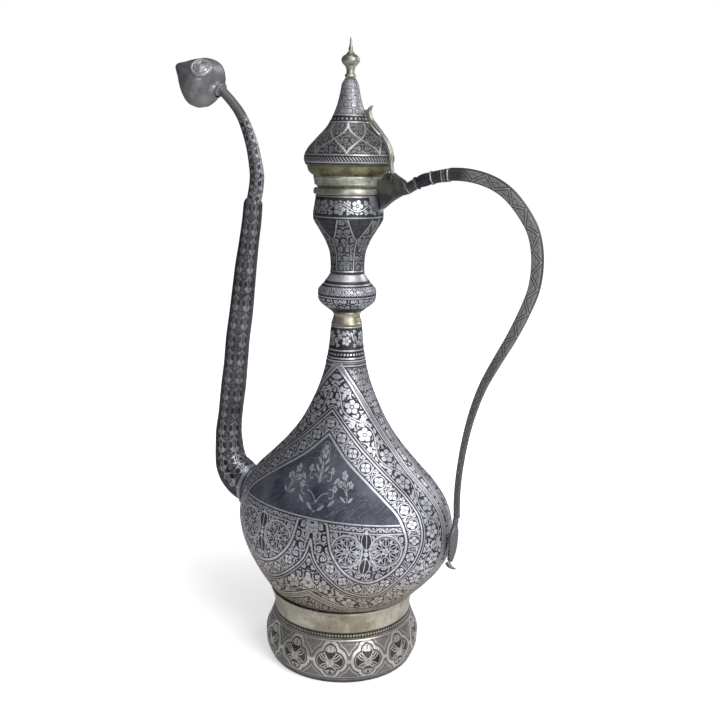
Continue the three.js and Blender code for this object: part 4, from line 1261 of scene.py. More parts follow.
# %% Four-lobed frames with sprays
SPRAY_PETALS = [(4.6, 2.4, 0.55, 4.3), (4.3, -3.6, -0.5, 4.2), (2.4, 6.6, 0.7, 2.8), (2.4, -7.4, -0.7, 3.0)]


def frame_sum(u, v, wide, tall):
    """A frame made of two ovals, one across the other, round a spray of petals and flowers."""
    x, y = size_of(u), size_of(v)
    side = far(x - wide * 0.42, y) - wide * 0.58
    high = far(x, y - tall * 0.45) - tall * 0.55
    shape = least(side, high)
    border = either(stroke(shape, 0.95), stroke(shape + 2.0, 0.2))
    link = both(stroke(v, 1.1), over(shape))
    corner = both(stroke(shape - 2.6, 0.26), over(y, 3.4))
    petals = [use(PETAL, (x - at) * 0.75 + (v - up) * lean, (v - up) * 0.75 - (x - at) * lean, long,
                  long * 0.42) for at, up, lean, long in SPRAY_PETALS]
    head = use(FLOWER, x, v - tall * 0.66, wide * 0.2, 3.0)
    heart = use(FLOWER, x, v + tall * 0.12, wide * 0.24, 4.0)
    stem = stroke(far(x - 3.4, v + 1.0) - 3.2, 0.28) * under(x, 3.4)
    spray = either(*petals, head, heart, stem)
    return either(border, corner, link, spray * under(shape, -2.2), over(shape, 1.3) * 0.3)


FRAMES = group("lobed frames", frame_sum, U=0.0, V=0.0, Wide=8.0, Tall=11.0)


# %% Medallion
def medallion_sum(x, y, size):
    """A ring that holds broad two-part leaves round a small flower."""
    r = far(x, y)
    a = op("ARCTAN2", y, x)
    rings = either(stroke(r - size, 0.55), stroke(r - size * 0.86, 0.2))
    folded = op("PINGPONG", a + math.pi / 6, math.pi / 6) * r
    leaf = use(PETAL, r - size * 0.56, folded, size * 0.3, size * 0.24)
    small = use(LEAF, r - size * 0.68, r * math.pi / 6 - folded, size * 0.15, size * 0.09)
    eye = use(FLOWER, x, y, size * 0.27, 5.0)
    return either(rings, leaf, small, eye)


MEDALLION = group("medallion", medallion_sum, X=0.0, Y=0.0, Size=9.0)

# %% [markdown]
# ## Metal and its wear
# The whole ewer is one kind of metal in different states: blackened ground, worn bright lines,
# plain tinned skin that shows brass, and dark cast pieces. One group gives the wear that they
# share, and another turns a mask into colour, gloss and relief.

# %% Wear
def wear_sum(place):
    """Large blotches, fine mottling, and two sets of long scratches that cross."""
    blotch = rise(noise(place, 0.045, 4.0, 0.6), 0.35, 0.68)
    fine = noise(place, 0.55, 3.0, 0.6)
    long_a = noise(place, 0.9, 1.0, 0.5, (0.05, 1.0, 1.6))
    long_b = noise(place, 0.9, 1.0, 0.5, (1.3, 1.0, 0.05))
    scratch = either(rise(long_a, 0.66, 0.72), rise(long_b, 0.68, 0.74))
    return blotch, fine, scratch


WEAR = group("wear", wear_sum, ("Blotch", "Fine", "Scratch"), Place=None)


# %% Engraved metal
def mix_colour(share, a, b):
    """The colour a where the share is 0, and b where it is 1."""
    tree = tree_of(share, a, b)
    node = tree.nodes.new("ShaderNodeMix")
    node.data_type = "RGBA"
    for number, value in ((0, share), (6, a), (7, b)):
        plug(node.inputs[number], value)
    return Wire(tree, node.outputs[2])


def engraved_sum(mask, ground, line, blotch, fine, scratch):
    """Colour, roughness, height and metallic share of metal engraved and blackened in its ground."""
    worn = mask * (0.7 + blotch * 0.3) * (0.55 + rise(fine, 0.25, 0.5) * 0.45)
    colour = mix_colour(either(worn, scratch * 0.16, blotch * 0.06), ground, line)
    rough = 0.47 - worn * 0.14 + (fine - 0.5) * 0.2
    height = mask + fine * 0.2 - scratch * 0.12
    metal = 0.25 + worn * 0.6
    return colour, rough, height, metal


ENGRAVED = group("engraved metal", engraved_sum, ("Color", "Roughness", "Height", "Metallic"), Mask=0.0,
                 Ground=(0, 0, 0, 1), Line=(1, 1, 1, 1), Blotch=0.0, Fine=0.5, Scratch=0.0)


# %% A material in the making
def tone(text):
    """A colour written as six hex digits, as a linear one."""
    parts = [int(text[i:i + 2], 16) / 255 for i in (0, 2, 4)]
    return tuple(p / 12.92 if p <= 0.04045 else ((p + 0.055) / 1.055) ** 2.4 for p in parts) + (1.0,)


WORN_EDGE, DIRTY_GROOVE = (0.52, 0.6), (0.4, 0.48)


class Metal:
    """A material in the making: places in millimetres about the axis, shared wear, and its shader."""

    def __init__(self, name):
        self.material = bpy.data.materials.new(name)
        self.material.use_nodes = True
        self.tree = self.material.node_tree
        self.shader = self.tree.nodes["Principled BSDF"]
        spot = wire_of(self.tree, "ShaderNodeTexCoord", "Object")
        split = self.tree.nodes.new("ShaderNodeSeparateXYZ")
        self.tree.links.new(spot.socket, split.inputs[0])
        x, y, z = (Wire(self.tree, split.outputs[k]) for k in range(3))
        self.x, self.y, self.z = x / MM - AXIS, y / MM, z / MM
        self.place = joined(self.x, self.y, self.z)
        self.blotch, self.fine, self.scratch = use(WEAR, self.place)
        self.bend = wire_of(self.tree, "ShaderNodeNewGeometry", "Pointiness")

    def number(self, name):
        """A number that the piece's points carry."""
        return wire_of(self.tree, "ShaderNodeAttribute", "Fac", attribute_name=name)

    def azimuth(self):
        """The angle round the axis from the front towards the handle."""
        return op("ARCTAN2", self.x, -self.y)

    def join(self, colour, rough, metallic, height, strength, relief):
        """Joins colour, roughness, metallic share and a relief in millimetres to the shader."""
        bump = wire_of(self.tree, "ShaderNodeBump", Height=height, Strength=strength, Distance=relief * MM)
        parts = {"Normal": bump, "Base Color": colour, "Roughness": rough, "Metallic": metallic}
        for key, value in parts.items():
            plug(self.shader.inputs[key], value)
        print("material", self.material.name, "with", len(self.tree.nodes), "nodes")
        return self.material

    def finish(self, mask, ground, line, relief=0.1, shine=1.0):
        """Engraved metal of two colours, with its worn edges bright and its grooves dark."""
        edge = rise(self.bend, *WORN_EDGE)
        groove = 1 - rise(self.bend, *DIRTY_GROOVE)
        shown = most(mask, edge * 0.55) * (1 - groove * 0.5)
        made = use(ENGRAVED, shown, ground, line, self.blotch, self.fine, self.scratch)
        colour, rough, height, metal = made
        return self.join(colour, rough, metal * shine, height, 0.8, relief)


# %% [markdown]
# ## The body's ornament
# On the real body the bands between the heart lines hold different motifs: a leafy scroll outside,
# a stem with large flowers in the wide band and a row of ringed flowers in the narrow one. Inside
# the heart there is a plain slate-coloured panel with a sprig, and medallions stand below it. The
# distances that the skin carries tell the material which band each point belongs to.

# %% Colours and motifs of the body
GROUND, LINE = tone("12131b"), tone("e6e6ee")
SLATE, SLATE_LINE = tone("2c323f"), tone("9aa0ae")
BROWN, BROWN_LINE = tone("332c2b"), tone("d0c5bb")
MEDALLION_PLACES = [(25.2, 99.4), (50.5, 100.8)]
CROSS_PLACE = (38, 98.6)
SPRIG_HEIGHT, POSY_OFF = 138.0, 24.8


print("line", [round(part, 2) for part in LINE], "on ground", [round(part, 3) for part in GROUND])


# %% Sprig and posies
def sprig_sum(x, y):
    """A bending stem with a flower on top, and pairs of curled side stems, buds and leaves."""
    u = size_of(x)
    stem = stroke(x - sin(y * 0.22) * 1.1, 0.3) * between(y, -17, 14)
    halo = stroke(far(x, y - 18.5) - 6.0, 0.22) * over(y, 15.0)
    head = either(use(FLOWER, x, y - 18.5, 4.6, 6.0), halo)
    arms = [stroke(far(u - reach, y + low) - reach, 0.26) * under(u, reach + 0.4) * over(y + low)
            for reach, low in ((9, 14), (6.5, 2))]
    curls = [stroke(far(u - at, y - up) - 2.6, 0.26) * over(u, at - 1.5)
             for at, up in ((11.6, -5.0), (8.6, 4.5))]
    ends = [use(FLOWER, u - at, y - up, 2.2, 5.0) for at, up in ((15.4, -2.0), (12.2, 8.0))]
    leaves = [use(PETAL, (u - at) * 0.8 + (y - up) * 0.6, (y - up) * 0.8 - (u - at) * 0.6, 3.4, 0.95)
              for at, up in ((4.6, -14), (12.5, -10.5), (16.5, 2.5), (5.0, 8.5), (4.5, 13.0))]
    return either(stem, head, *arms, *curls, *ends, *leaves)


SPRIG = group("sprig", sprig_sum, X=0.0, Y=0.0)


POSY_LEAVES = [(3.0, -7.4, 0.8, 0.6, 2.8, 0.8), (1.9, 1.2, 0.5, 0.86, 2.0, 0.6)]


def posy_sum(x, y):
    """A small bunch beside the sprig: one flower on a stem, with a bud and a leaf on each side."""
    u = size_of(x)
    stem = stroke(x + sin(y * 0.35) * 0.8, 0.26) * between(y, -9, 3)
    arms = stroke(far(u - 4.4, y + 5.0) - 4.4, 0.24) * under(u, 4.7) * over(y, -5.0)
    flowers = either(use(FLOWER, x, y - 6.0, 3.0, 5.0), use(FLOWER, u - 5.0, y - 1.2, 2.2, 5.0))
    leaves = [use(PETAL, (u - at) * c + (y - up) * s, (y - up) * c - (u - at) * s, long, half)
              for at, up, c, s, long, half in POSY_LEAVES]
    return either(stem, arms, flowers, *leaves)


POSY = group("posy", posy_sum, X=0.0, Y=0.0)


# %% Cross of petals
def lens_cross_sum(x, y, size):
    """Two tall petals above and below a small flower, with a short one on each side."""
    tall = use(PETAL, size_of(y) - size * 0.54, x, size * 0.44, size * 0.24)
    short = use(PETAL, size_of(x) - size * 0.34, y, size * 0.22, size * 0.14)
    slant_x, slant_y = size_of(x) - size * 0.32, size_of(y) - size * 0.36
    slant = use(PETAL, (slant_x + slant_y) * 0.7, (slant_x - slant_y) * 0.7, size * 0.22, size * 0.11)
    eye = under(far(x, y) - size * 0.1)
    return either(tall, short, slant, eye)


LENS_CROSS = group("lens cross", lens_cross_sum, X=0.0, Y=0.0, Size=12.0)

# %% [markdown]
# ## Zones of the body
# Each zone between two heart lines gets a material of its own, because one material that held all
# the motifs would be too heavy to draw. Two neighbours both draw the line between them, so the
# edge where one material gives way to the next can't be seen.

# %% Lines between the zones
class BodyMetal(Metal):
    """Metal of the body, painted browner towards the foot as a reflection of the floor, with the three lines
    that bound its zones.
    """

    def __init__(self, name):
        super().__init__(name)
        # Painted reflection: ground and lines turn browner towards the foot, standing in for light thrown up
        # by the floor.
        self.low = 1 - rise(self.z, 62, 92)

    def line_a(self):
        a = self.number("edge_a")
        dots = use(DOTS, self.number("run_a"), a, 1.9, 0.5)
        return either(stroke(size_of(a) - 1.75, 0.42), dots * 0.8, under(size_of(a), 1.2) * 0.4)

    def line_b(self):
        b = self.number("edge_b")
        return either(stroke(b, 0.5), stroke(b - 1.9, 0.26))

    def line_c(self):
        return stroke(self.number("edge_c"), 0.75)

    def close(self, *masks):
        # The painted floor reflection: ground and line colours blend towards brown low on the body.
        ground, line = mix_colour(self.low, GROUND, BROWN), mix_colour(self.low, LINE, BROWN_LINE)
        return self.finish(either(*masks), ground, line)


# %% Zones outside the heart
def outer_zone():
    metal = BodyMetal("body outer scroll")
    a = metal.number("edge_a")
    scroll = use(SCROLL, metal.number("girth"), metal.z, 7.4) * over(a, 3.1) * 0.85
    rings = either(stroke(metal.z - 210.9, 0.4), stroke(metal.z - 53.0, 0.4))
    return metal.close(metal.line_a(), scroll * under(metal.z, 209.5), rings)


def wide_zone():
    metal = BodyMetal("body wide band")
    a, b, run = metal.number("edge_a"), metal.number("edge_b"), metal.number("run_a")
    girth, z = metal.number("girth"), metal.z
    middle = (a + b) / 2
    clear = both(under(a, -3.1), over(b, 2.9))
    vine = use(VINE, run, middle, 40.0, 4.2, 4.9)
    spare = use(SCROLL, run, middle + 4.0, 8.0) * over(size_of(middle), 1.2)
    near_flower = under(far(cells(run, 20.0), size_of(middle) - 1.7), 5.6)
    along_band = either(vine, spare * (1 - near_flower))
    tip = both(under(size_of(girth), 9.0), under(z, 105.0))
    in_tip = use(FLOWER, girth, z - 74.0, 4.6, 6.0) * tip + use(SCROLL, girth, z + 1.5, 7.0) * tip
    return metal.close(metal.line_a(), metal.line_b(), (along_band * (1 - tip) + in_tip) * clear)


def narrow_zone():
    metal = BodyMetal("body ringed flowers")
    b, c = metal.number("edge_b"), metal.number("edge_c")
    girth, z = metal.number("girth"), metal.z
    clear = both(under(b, -1.3), over(c, 1.7))
    ringed = use(RINGED, metal.number("run_b"), (b + c) / 2, 12.5, 4.4)
    tip = both(under(girth, 12.5), between(z, 88.0, 120.0))
    spray = either(use(LENS_CROSS, girth, z - 110.5, 9.0), use(SCROLL, girth, z, 6.4))
    return metal.close(metal.line_b(), metal.line_c(), (ringed * (1 - tip) + spray * tip) * clear)


# %% Zones inside the heart
def panel_zone():
    metal = BodyMetal("body panel")
    inner = under(metal.number("edge_c"), -1.0)
    girth, up = metal.number("girth"), metal.z - SPRIG_HEIGHT
    sprig = either(use(SPRIG, girth, up), use(POSY, girth - POSY_OFF, up)) * 0.8
    lean = joined((metal.x + metal.z) * 0.09, metal.y * 0.3, (metal.x - metal.z) * 2.6)
    hatch = noise(lean, 0.6, 2.0, 0.5)
    slate = mix_colour(rise(hatch, 0.52, 0.66) * 0.2 + metal.blotch * 0.12, SLATE, SLATE_LINE)
    foot = stroke(metal.z - PANEL_FOOT - 0.4, 0.45) * inner
    mask = either(metal.line_c(), foot, sprig)
    return metal.finish(mask, mix_colour(inner * over(metal.z, PANEL_FOOT), GROUND, slate), LINE)


def medallion_zone():
    metal = BodyMetal("body medallions")
    girth, z = metal.number("girth"), metal.z
    inner = under(metal.number("edge_c"), -1.4)
    strip = use(VINE, girth, z - 114.2, 9.0, 0.9, 1.1) * between(z, 112.6, 115.8)
    rounds, clear = [], []
    for u, v in MEDALLION_PLACES:
        rounds.append(use(MEDALLION, girth - u, z - v, 10.2))
        clear.append(over(far(girth - u, z - v), 10.8))
    cross = use(LENS_CROSS, girth - CROSS_PLACE[0], z - CROSS_PLACE[1], 15.5)
    beside = over(far((girth - CROSS_PLACE[0]) * 2.2, z - CROSS_PLACE[1]), 13.5)
    leafy = use(SCROLL, girth + 1.5, z, 6.2) * both(*clear, beside)
    rings = either(stroke(z - PANEL_FOOT - 0.4, 0.45), stroke(z - 111.7, 0.4))
    filled = either(leafy * under(z, 111.0), cross, *rounds, strip, rings)
    return metal.close(metal.line_c(), filled * inner)


def body_zone(a, b, c, z):
    """Which zone's material a place on the body takes."""
    if a > 0:
        return 0
    if b > 0:
        return 1
    if c > 0:
        return 2
    return 3 if z > PANEL_FOOT else 4


# %% Lay the zones on the body
body = PIECES["body"].data
body.materials.clear()
for make in (outer_zone, wide_zone, narrow_zone, panel_zone, medallion_zone):
    body.materials.append(make())
edges = {key: np.empty(len(body.vertices), np.float32) for key in "abc"}
for key, values in edges.items():
    body.attributes["edge_" + key].data.foreach_get("value", values)
for face in body.polygons:
    middle = [float(np.mean(values[list(face.vertices)])) for values in edges.values()]
    face.material_index = body_zone(*middle, face.center.z / MM)
print("faces in the body's zones", np.bincount([face.material_index for face in body.polygons]))

# %% [markdown]
# ## Bands on the foot, neck, cup and lid
# These are turned, so their ornament only needs the angle round the axis and the height. Each
# band repeats a whole number of times round its piece, so that it closes behind.

# %% Bands
def band(metal, motif, low, high, radius, count, *sizes):
    """A motif repeated so many times round the axis between two heights."""
    along = metal.azimuth() * radius
    spacing = 2 * math.pi * radius / count
    middle = (low + high) / 2
    return use(motif, along, metal.z - middle, spacing, *sizes) * between(metal.z, low, high)


def bright_lines(metal, heights, half=0.35):
    return either(*(stroke(metal.z - height, half) for height in heights))


# %% Foot
FOOT_COUNT, FOOT_RADIUS, FOOT_START = 13, 53.0, math.radians(-6)


def foot_material():
    metal = Metal("engraved foot")
    period = 2 * math.pi * FOOT_RADIUS / FOOT_COUNT
    u = cells((metal.azimuth() - FOOT_START) * FOOT_RADIUS + period / 2, period)
    frames = use(FRAMES, u, (metal.z - 18.2) * 0.88, 10.8, 10.6) * between(metal.z, 6.2, 30.4)
    fine = band(metal, DOTS, 3.2, 5.2, 52.0, 260, 0.3)
    mask = either(frames, fine, bright_lines(metal, (30.9, 5.7)))
    return metal.finish(mask, mix_colour(metal.blotch * 0.5, GROUND, BROWN), tone("d6d2cc"))


def cove_material():
    """The plain bright cove above the foot, with a band of dots cut along its lower edge."""
    metal = Metal("ivory cove")
    dots = band(metal, DOTS, 32.6, 35.4, 48.4, 150, 0.62)
    plain = over(metal.z, 36.0)
    cloud = noise(metal.place, 0.05, 4.0, 0.6)
    colour = mix_colour(rise(cloud, 0.42, 0.6), tone("dcd6c6"), tone("b3a994"))
    mask = either(plain * 0.94, dots, bright_lines(metal, (31.9,)))
    return metal.finish(mask, GROUND, colour, 0.06)


# %% Neck and cup ornament
ARCH_COUNT, ARCH_START, ARCH_LOW = 6, math.radians(51), 294.6


def neck_material():
    metal = Metal("engraved neck")
    vine = band(metal, VINE, 222.0, 235.6, 11.5, 3, 3.6, 3.2)
    small = band(metal, DOTS, 216.6, 219.8, 12.5, 36, 0.6)
    mask = either(vine, small, bright_lines(metal, (215.6, 220.8, 236.3, 213.8), 0.4))
    return metal.finish(mask, GROUND, LINE)


def knop_material():
    metal = Metal("engraved knop")
    top = over(metal.z, 267.0)
    leaves = band(metal, RINGED, 258.2, 263.7, 19.0, 16, 2.1)
    under_side = band(metal, SCROLL, 249.5, 255.8, 17.5, 22)
    mask = either(top * 0.75, leaves, under_side, bright_lines(metal, (264.8, 256.8)))
    return metal.finish(mask, GROUND, LINE)


def cup_material():
    metal = Metal("engraved cup")
    az, z = metal.azimuth(), metal.z
    floral = band(metal, VINE, 310.6, 320.0, 22.5, 6, 2.4, 4.0)
    step = 2 * math.pi / ARCH_COUNT
    radius = steady_wire(z, 274, 307, 11.0, 22.0)
    u = cells(az - ARCH_START + step / 2, step) * radius
    share = steady_wire(z, ARCH_LOW, 308.0, 0.0, 1.0)
    arch = size_of(u) - radius * (step * 0.37) * op("SQRT", share)
    net = either(stroke(arch, 0.42) * over(z, ARCH_LOW), stroke(u, 0.36) * under(z, ARCH_LOW))
    scroll = use(SCROLL, az * 17.0, z, 17.0 * math.pi / 9) * most(over(arch, 1.0) * 0.6, 0.1)
    lower = both(either(net, scroll), between(z, 274.0, 307.8))
    mask = either(floral, lower, bright_lines(metal, (322.0, 308.9, 273.4)))
    return metal.finish(mask, tone("0e0f13"), tone("c4c6cc"))


# %% Dome ornament
NET_COUNT, NET_START = 8, math.radians(49)
CONE_FOOT = 372.6


def dome_material():
    """A net of ogives round the dome, with scrolls above and slanting strokes below."""
    metal = Metal("engraved dome")
    az, z = metal.azimuth(), metal.z
    low, cross, high = 348.6, 357.7, 368.0
    step = 2 * math.pi / NET_COUNT
    radius = steady_wire(z, low, high, 28.8, 13.0)
    u = cells(az - NET_START + step / 2, step) * radius
    swell = size_of(sin((z - cross) / (high - low) * math.pi)) * radius * (step * 0.5)
    net = size_of(u) - swell
    cloud = use(SCROLL, az * 22.0, z, 22.0 * math.pi / 15) * over(size_of(net), 0.9) * 0.45
    cone = use(SCROLL, az * 8.0, z, 8.0 * math.pi / 6) * between(z, 373.4, 394.0)
    marks = band(metal, DOTS, 368.8, 371.9, 13.0, 26, 0.7)
    slant = stroke(cells(az * 29.0 + z * 0.8, 2 * math.pi * 29.0 / 90), 0.3) * between(z, 343.9, 346.6)
    netting = both(either(stroke(net, 0.7), cloud), between(z, low, high))
    mask = either(netting, cone, marks, slant, bright_lines(metal, (348.0, 368.3, CONE_FOOT, 343.4)))
    ground = mix_colour(metal.blotch * 0.5, GROUND, BROWN)
    # Painted highlight: the ground of the cone above CONE_FOOT is made lighter and silvery.
    ground = mix_colour(over(z, CONE_FOOT) * 0.4, ground, tone("8f939e"))
    return metal.finish(mask, ground, tone("cfcdce"))


# %% [markdown]
# ## Spout and handle
# These follow bent lines, so their ornament is laid out by the distance run along the line. The
# spout is nearly black, with diamonds and leaves; the handle has a zigzag on each flat side.

# %% Spout ornament
NO_END = 1000.0


def spout_material(name, radius, around, spacing, plain_from=NO_END, root_band=0.0):
    """A tube's skin: a net of pointed ogives along it, with a spray in each one, and a plain far end.
    A root band is a strip beside the body that is left bright."""
    metal = Metal(name)
    along, across = metal.number("along"), metal.number("across")
    girth = op("ARCTAN2", metal.y, across) * radius
    row = 2 * math.pi * radius / around
    u = cells(girth, row)
    column = cells(along, spacing)
    swell = size_of(cos(along / spacing * math.pi)) * row * 0.46
    net = size_of(u) - swell
    spray = either(use(LENS_CROSS, u, column, spacing * 0.62), use(FLOWER, u, column, spacing * 0.16, 4.0))
    leafy = use(SCROLL, girth, along, row * 0.5) * over(net, 0.8) * 0.4
    worn_off = rise(noise(metal.place, 0.06, 2.0, 0.5), 0.3, 0.6)
    bloom = use(LEAF, column - spacing * 0.25, size_of(u) - row * 0.16, spacing * 0.16, row * 0.12)
    mask = either(stroke(net, 0.3) * 0.5, spray * under(net, -0.5), bloom, leafy) * under(along, plain_from)
    # Painted shade: the ornament fades on the tube's outer, left side, which lies in shade.
    shaded_side = rise(across / radius, -0.1, 0.6)
    shown = mask * (0.5 + worn_off * 0.5) * (1 - shaded_side * 0.85)
    if root_band:
        off_body = metal.number("off_body")
        bare = 1 - rise(off_body, root_band - 0.4, root_band + 0.4)
        shown = shown * (1 - rise(along, 25, 70) * 0.5) * (1 - bare)
        shown = either(shown, bare * 0.72, stroke(off_body - root_band, 0.3))
    ground = mix_colour(rise(along, plain_from - 8, plain_from + 4), tone("0a0b0f"), tone("5c5d59"))
    return metal.finish(shown, ground, tone("d2d4dc"))


# %% Handle ornament
def bar_material():
    metal = Metal("engraved bar")
    along, across = metal.number("along"), metal.number("across")
    side_face = over(size_of(metal.y), 0.8)
    teeth = use(ZIGZAG, along, across, 15.5, 2.9) * side_face
    shown = rise(along, 5, 16) * (1 - rise(along, 90, 170) * 0.5)
    return metal.finish(teeth * shown, tone("2c2c2a"), tone("b0b0ae"), shine=0.4)


def collar_material(name, rings, clean, dirt):
    """Dark cast metal with thin bright rings at given distances along the piece."""
    metal = Metal(name)
    along = metal.number("along")
    lines = either(*(stroke(along - ring, 0.32) for ring in rings))
    return metal.finish(lines, mix_colour(metal.fine * metal.blotch, dirt, clean), tone("c3c3c6"), 0.05)


def leaf_material():
    """The leaf at the handle's foot: a midrib with slanting veins."""
    metal = Metal("terminal leaf")
    along, side = metal.number("along"), size_of(metal.y)
    veins = stroke(cells(along + side * 1.1, 2.4), 0.2) * over(side, 0.5)
    midrib = stroke(side, 0.35)
    lines = either(veins * 0.5, midrib * 0.7) * over(along, 6.0)
    return metal.finish(lines, tone("5a5b5f"), tone("c0c0c3"))


# %% [markdown]
# ## Plain metal
# The cove of the foot, the rim and the brass rings have no ornament. Tin shows where it is left,
# brass where it is rubbed, and dirt sits in the grooves. The bright edges of the dark cast
# pieces are also a painted highlight.

# %% Plain metal
def plain_material(name, colours, metallic=0.75, relief=0.04, edge_wear_and_highlight=0.5):
    """Metal without ornament: cloudy from clean to stained, with dirt in its grooves. Its colours
    are the clean one, the stained one and the dirt; the last number sets how bright its edges are
    painted: worn bright metal, and where it is set high, a painted highlight too."""
    clean, stain, dirt = (tone(colour) for colour in colours.split())
    metal = Metal(name)
    cloud = noise(metal.place, 0.11, 4.0, 0.55)
    skin_colour = mix_colour(rise(cloud, 0.4, 0.66), clean, stain)
    groove = 1 - rise(metal.bend, 0.42, 0.5)
    spots = 1 - rise(metal.fine, 0.22, 0.36)
    colour = mix_colour(either(groove * 0.7, spots * 0.45), skin_colour, dirt)
    # Edges are painted bright by their curvature: worn metal, and where the last number is high, a painted
    # highlight.
    bright_edge_colour = tuple((a + b) / 2 for a, b in zip(clean, LINE))
    colour = mix_colour(rise(metal.bend, 0.53, 0.62) * edge_wear_and_highlight, colour, bright_edge_colour)
    height = metal.fine * 0.5 + metal.scratch * 0.3 + cloud
    rough = 0.3 + cloud * 0.16 + (metal.fine - 0.5) * 0.2 + metal.scratch * 0.06
    return metal.join(colour, rough, metallic, height, 0.6, relief)


def lid_cove_material():
    """The lid's cove: dull brass above, with a tinned flange below the groove."""
    metal = Metal("lid cove")
    cloud = noise(metal.place, 0.11, 4.0, 0.55)
    brass = mix_colour(rise(cloud, 0.4, 0.66), tone("97906e"), tone("5a5540"))
    tin = mix_colour(rise(cloud, 0.4, 0.66), tone("d6d8cc"), tone("a4a69a"))
    tinned = 1 - rise(metal.z, 334.0, 335.0)
    mask = 0.5 + metal.fine * 0.6 + tinned * 0.3
    return metal.finish(mask, tone("1f1d16"), mix_colour(tinned, brass, tin), 0.04)


# %% [markdown]
# ## Which piece gets which metal
# Each line makes a material and names the pieces that wear it. In the photograph the cast and
# turned pieces of the hinge and the handle are darker than the tinned sheet.

# %% Lay the metals on the pieces
MATERIALS = [
    (foot_material(), "foot_flare foot_hem"),
    (neck_material(), "neck_sleeve"),
    (knop_material(), "neck_knop"),
    (cup_material(), "mouth_cup"),
    (dome_material(), "lid_dome"),
    (spout_material("spout tube", 11.0, 6, 13.5, root_band=6.0), "spout_lower"),
    (spout_material("spout neck", 4.4, 3, 10.0, 66.0), "spout_upper"),
    (bar_material(), "handle_bar"),
    (cove_material(), "foot_cove"),
    (plain_material("brass", "b2ac98 7c7768 38342a"), "neck_collar lid_plug"),
    (lid_cove_material(), "lid_cove"),
    (plain_material("tin", "b5b2a8 8a867c 45433e"),
     "mouth_rim lid_finial_base lid_finial_spike lid_strap lid_knuckle lid_thumb_leaf"),
    (plain_material("steel", "8c8c98 5a5a66 1c1c20"), "spout_ferrule hinge_tongue handle_tail"),
    (plain_material("dark pin", "55554f 33332f 151613", 0.6), "hinge_pin"),
    # The dark cast pieces get the brightest edges: worn metal, with a painted highlight along the cheeks'
    # edges.
    (plain_material("dark cast", "62635e 3f403c 1a1b19", 0.45, edge_wear_and_highlight=1.0),
     "handle_web hinge_cheek_near hinge_cheek_far"),
    (collar_material("socket", (0.5,), tone("4a4d45"), tone("22231f")), "handle_socket"),
    (collar_material("bead", (0.5, 12.3), tone("30333d"), tone("16171c")), "handle_bead"),
    (collar_material("ferrule", (10.2, 7.6, 6.0), tone("3c3e3c"), tone("1b1c1a")), "handle_ferrule"),
    (leaf_material(), "handle_leaf"),
    (plain_material("bud skin", "8e8e90 77777a 3a3a3c", 0.45, 0.05), "spout_bud spout_tip_ring"),
    (plain_material("rosette", "acacb2 86868c 505056", 0.5), "spout_rosette_near spout_rosette_far")]

for material, names in MATERIALS:
    for name in names.split():
        PIECES[name].data.materials.clear()
        PIECES[name].data.materials.append(material)
bare = [name for name, piece in PIECES.items() if not piece.data.materials]
print(len(MATERIALS), "materials; pieces without one:", bare)

# %% [markdown]
# ## Plain tin inside
# The inner walls were tinned but never engraved, and they are seen only where the lid stands open
# or an opening shows its edge. The faces of a sheet piece that look towards the axis get a second
# material, so that no ornament shows on them.

# %% Plain tin inside
SHEET_PIECES = ("foot_flare", "foot_cove", "neck_sleeve", "neck_knop", "mouth_cup", "lid_dome", "lid_cove")
INSIDE = plain_material("tinned inside", "8d8a80 55524a 26241f", 0.5)


def line_inside(name):
    """Lays plain tin on the faces of a turned piece that look towards its axis."""
    mesh = PIECES[name].data
    mesh.materials.append(INSIDE)
    spots, ways = np.empty(len(mesh.polygons) * 3), np.empty(len(mesh.polygons) * 3)
    mesh.polygons.foreach_get("center", spots)
    mesh.polygons.foreach_get("normal", ways)
    spots, ways = spots.reshape(-1, 3)[:, :2] - [AXIS * MM, 0], ways.reshape(-1, 3)[:, :2]
    inward = (spots * ways).sum(1) < -0.1 * np.linalg.norm(spots, axis=1)
    mesh.polygons.foreach_set("material_index", inward.astype(np.int32))
    return int(inward.sum())


for name in SHEET_PIECES:
    print(name, "faces inside:", line_inside(name))

# %% [markdown]
# ## Floor
# A plain white floor, as in the photograph. It only takes a soft shadow: to the camera it glows,
# less near the foot, so that the shadow stays there, and fully further out, so that the floor
# melts into the white behind. The metal doesn't see the glow.

# %% Floor
WHITE = (1, 1, 1, 1)
FLOOR_HALF = 4.0
FLOOR_LOOKS = {"Base Color": (0.9, 0.9, 0.9, 1), "Roughness": 0.9, "Specular IOR Level": 0.1}
FLOOR_GLOW, SHADOW_REACH, WHITE_REACH = 0.55, 0.1, 0.4


def floor_material():
    """A matt white that glows more and more with the distance from the ewer's foot."""
    material = bpy.data.materials.new("floor")
    material.use_nodes = True
    tree = material.node_tree
    shader = tree.nodes["Principled BSDF"]
    for key, value in FLOOR_LOOKS.items():
        plug(shader.inputs[key], value)
    spot = wire_of(tree, "ShaderNodeTexCoord", "Object")
    reach = wire_of(tree, "ShaderNodeVectorMath", "Value", operation="LENGTH", Vector=spot)
    ends = {"From Min": SHADOW_REACH, "From Max": WHITE_REACH, "To Min": FLOOR_GLOW, "To Max": 1.0}
    fade = wire_of(tree, "ShaderNodeMapRange", "Result", interpolation_type="SMOOTHSTEP", Value=reach, **ends)
    glow = wire_of(tree, "ShaderNodeEmission", Color=WHITE, Strength=fade)
    lit = Wire(tree, shader.outputs[0])
    glowing = in_order(tree, "ShaderNodeAddShader", lit, glow)
    seen = wire_of(tree, "ShaderNodeLightPath", "Is Camera Ray")
    pick = in_order(tree, "ShaderNodeMixShader", seen, lit, glowing)
    plug(tree.nodes["Material Output"].inputs["Surface"], pick)
    return material


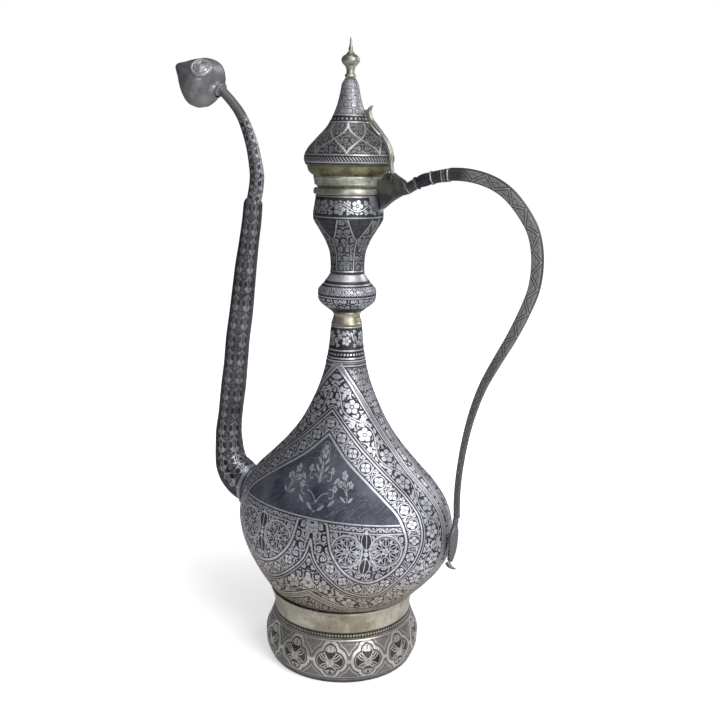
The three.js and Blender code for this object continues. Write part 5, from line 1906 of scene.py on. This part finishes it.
floor_corners = [(x * FLOOR_HALF, y * FLOOR_HALF, 0) for x, y in ((-1, -1), (1, -1), (1, 1), (-1, 1))]
floor_mesh = bpy.data.meshes.new("floor")
floor_mesh.from_pydata(floor_corners, [], [[0, 1, 2, 3]])
floor_mesh.materials.append(floor_material())
floor = bpy.data.objects.new("floor", floor_mesh)
bpy.context.scene.collection.objects.link(floor)
print("floor", 2 * FLOOR_HALF, "m wide")

# %% [markdown]
# ## Light
# Polished metal shows what stands round it, so its lights are large and soft. The key light stands
# at the right front and leaves the left side dark, as in the photograph. A narrow one stands nearer
# to the front, one hangs above, and one behind at the right draws a bright edge.

# %% Lights
AIM_HEIGHT = 0.2
# name, degrees round (0 in front, 90 at the right), height, distance, width, length, power
LIGHTS = [("key", 64, 0.85, 1.2, 0.7, 1.1, 15),
          ("front", 24, 0.6, 1.4, 0.35, 0.9, 3),
          ("top", 40, 1.7, 0.5, 0.9, 0.9, 6),
          ("back", 150, 0.8, 1.3, 0.6, 0.8, 5)]

for name, azimuth, height, distance, width, tall, power in LIGHTS:
    data = bpy.data.lights.new(name, "AREA")
    data.shape = "RECTANGLE"
    data.size, data.size_y = width, tall
    data.energy = power
    light = bpy.data.objects.new(name, data)
    bpy.context.scene.collection.objects.link(light)
    around = math.radians(azimuth)
    light.location = (math.sin(around) * distance, -math.cos(around) * distance, height)
    way = Vector((0, 0, AIM_HEIGHT)) - light.location
    light.rotation_euler = way.to_track_quat("-Z", "Y").to_euler()
    print("light", name, power, "W")

# %% [markdown]
# ## Surroundings
# The camera sees pure white behind the ewer, but the metal reflects a dim, slightly blue room, or
# it would look like chalk.

# %% World
ROOM_COLOUR, ROOM_LIGHT = (0.72, 0.76, 0.85, 1), 0.1
world = bpy.data.worlds.new("studio")
bpy.context.scene.world = world
world.use_nodes = True
sky = world.node_tree
behind = sky.nodes["Background"]
behind.inputs["Color"].default_value = WHITE
behind.inputs["Strength"].default_value = 1.0
room = wire_of(sky, "ShaderNodeBackground", Color=ROOM_COLOUR, Strength=ROOM_LIGHT)
seen = wire_of(sky, "ShaderNodeLightPath", "Is Camera Ray")
choose = in_order(sky, "ShaderNodeMixShader", seen, room, Wire(sky, behind.outputs[0]))
plug(sky.nodes["World Output"].inputs["Surface"], choose)
bpy.context.scene.view_settings.view_transform = "Standard"
print("room light", ROOM_LIGHT)
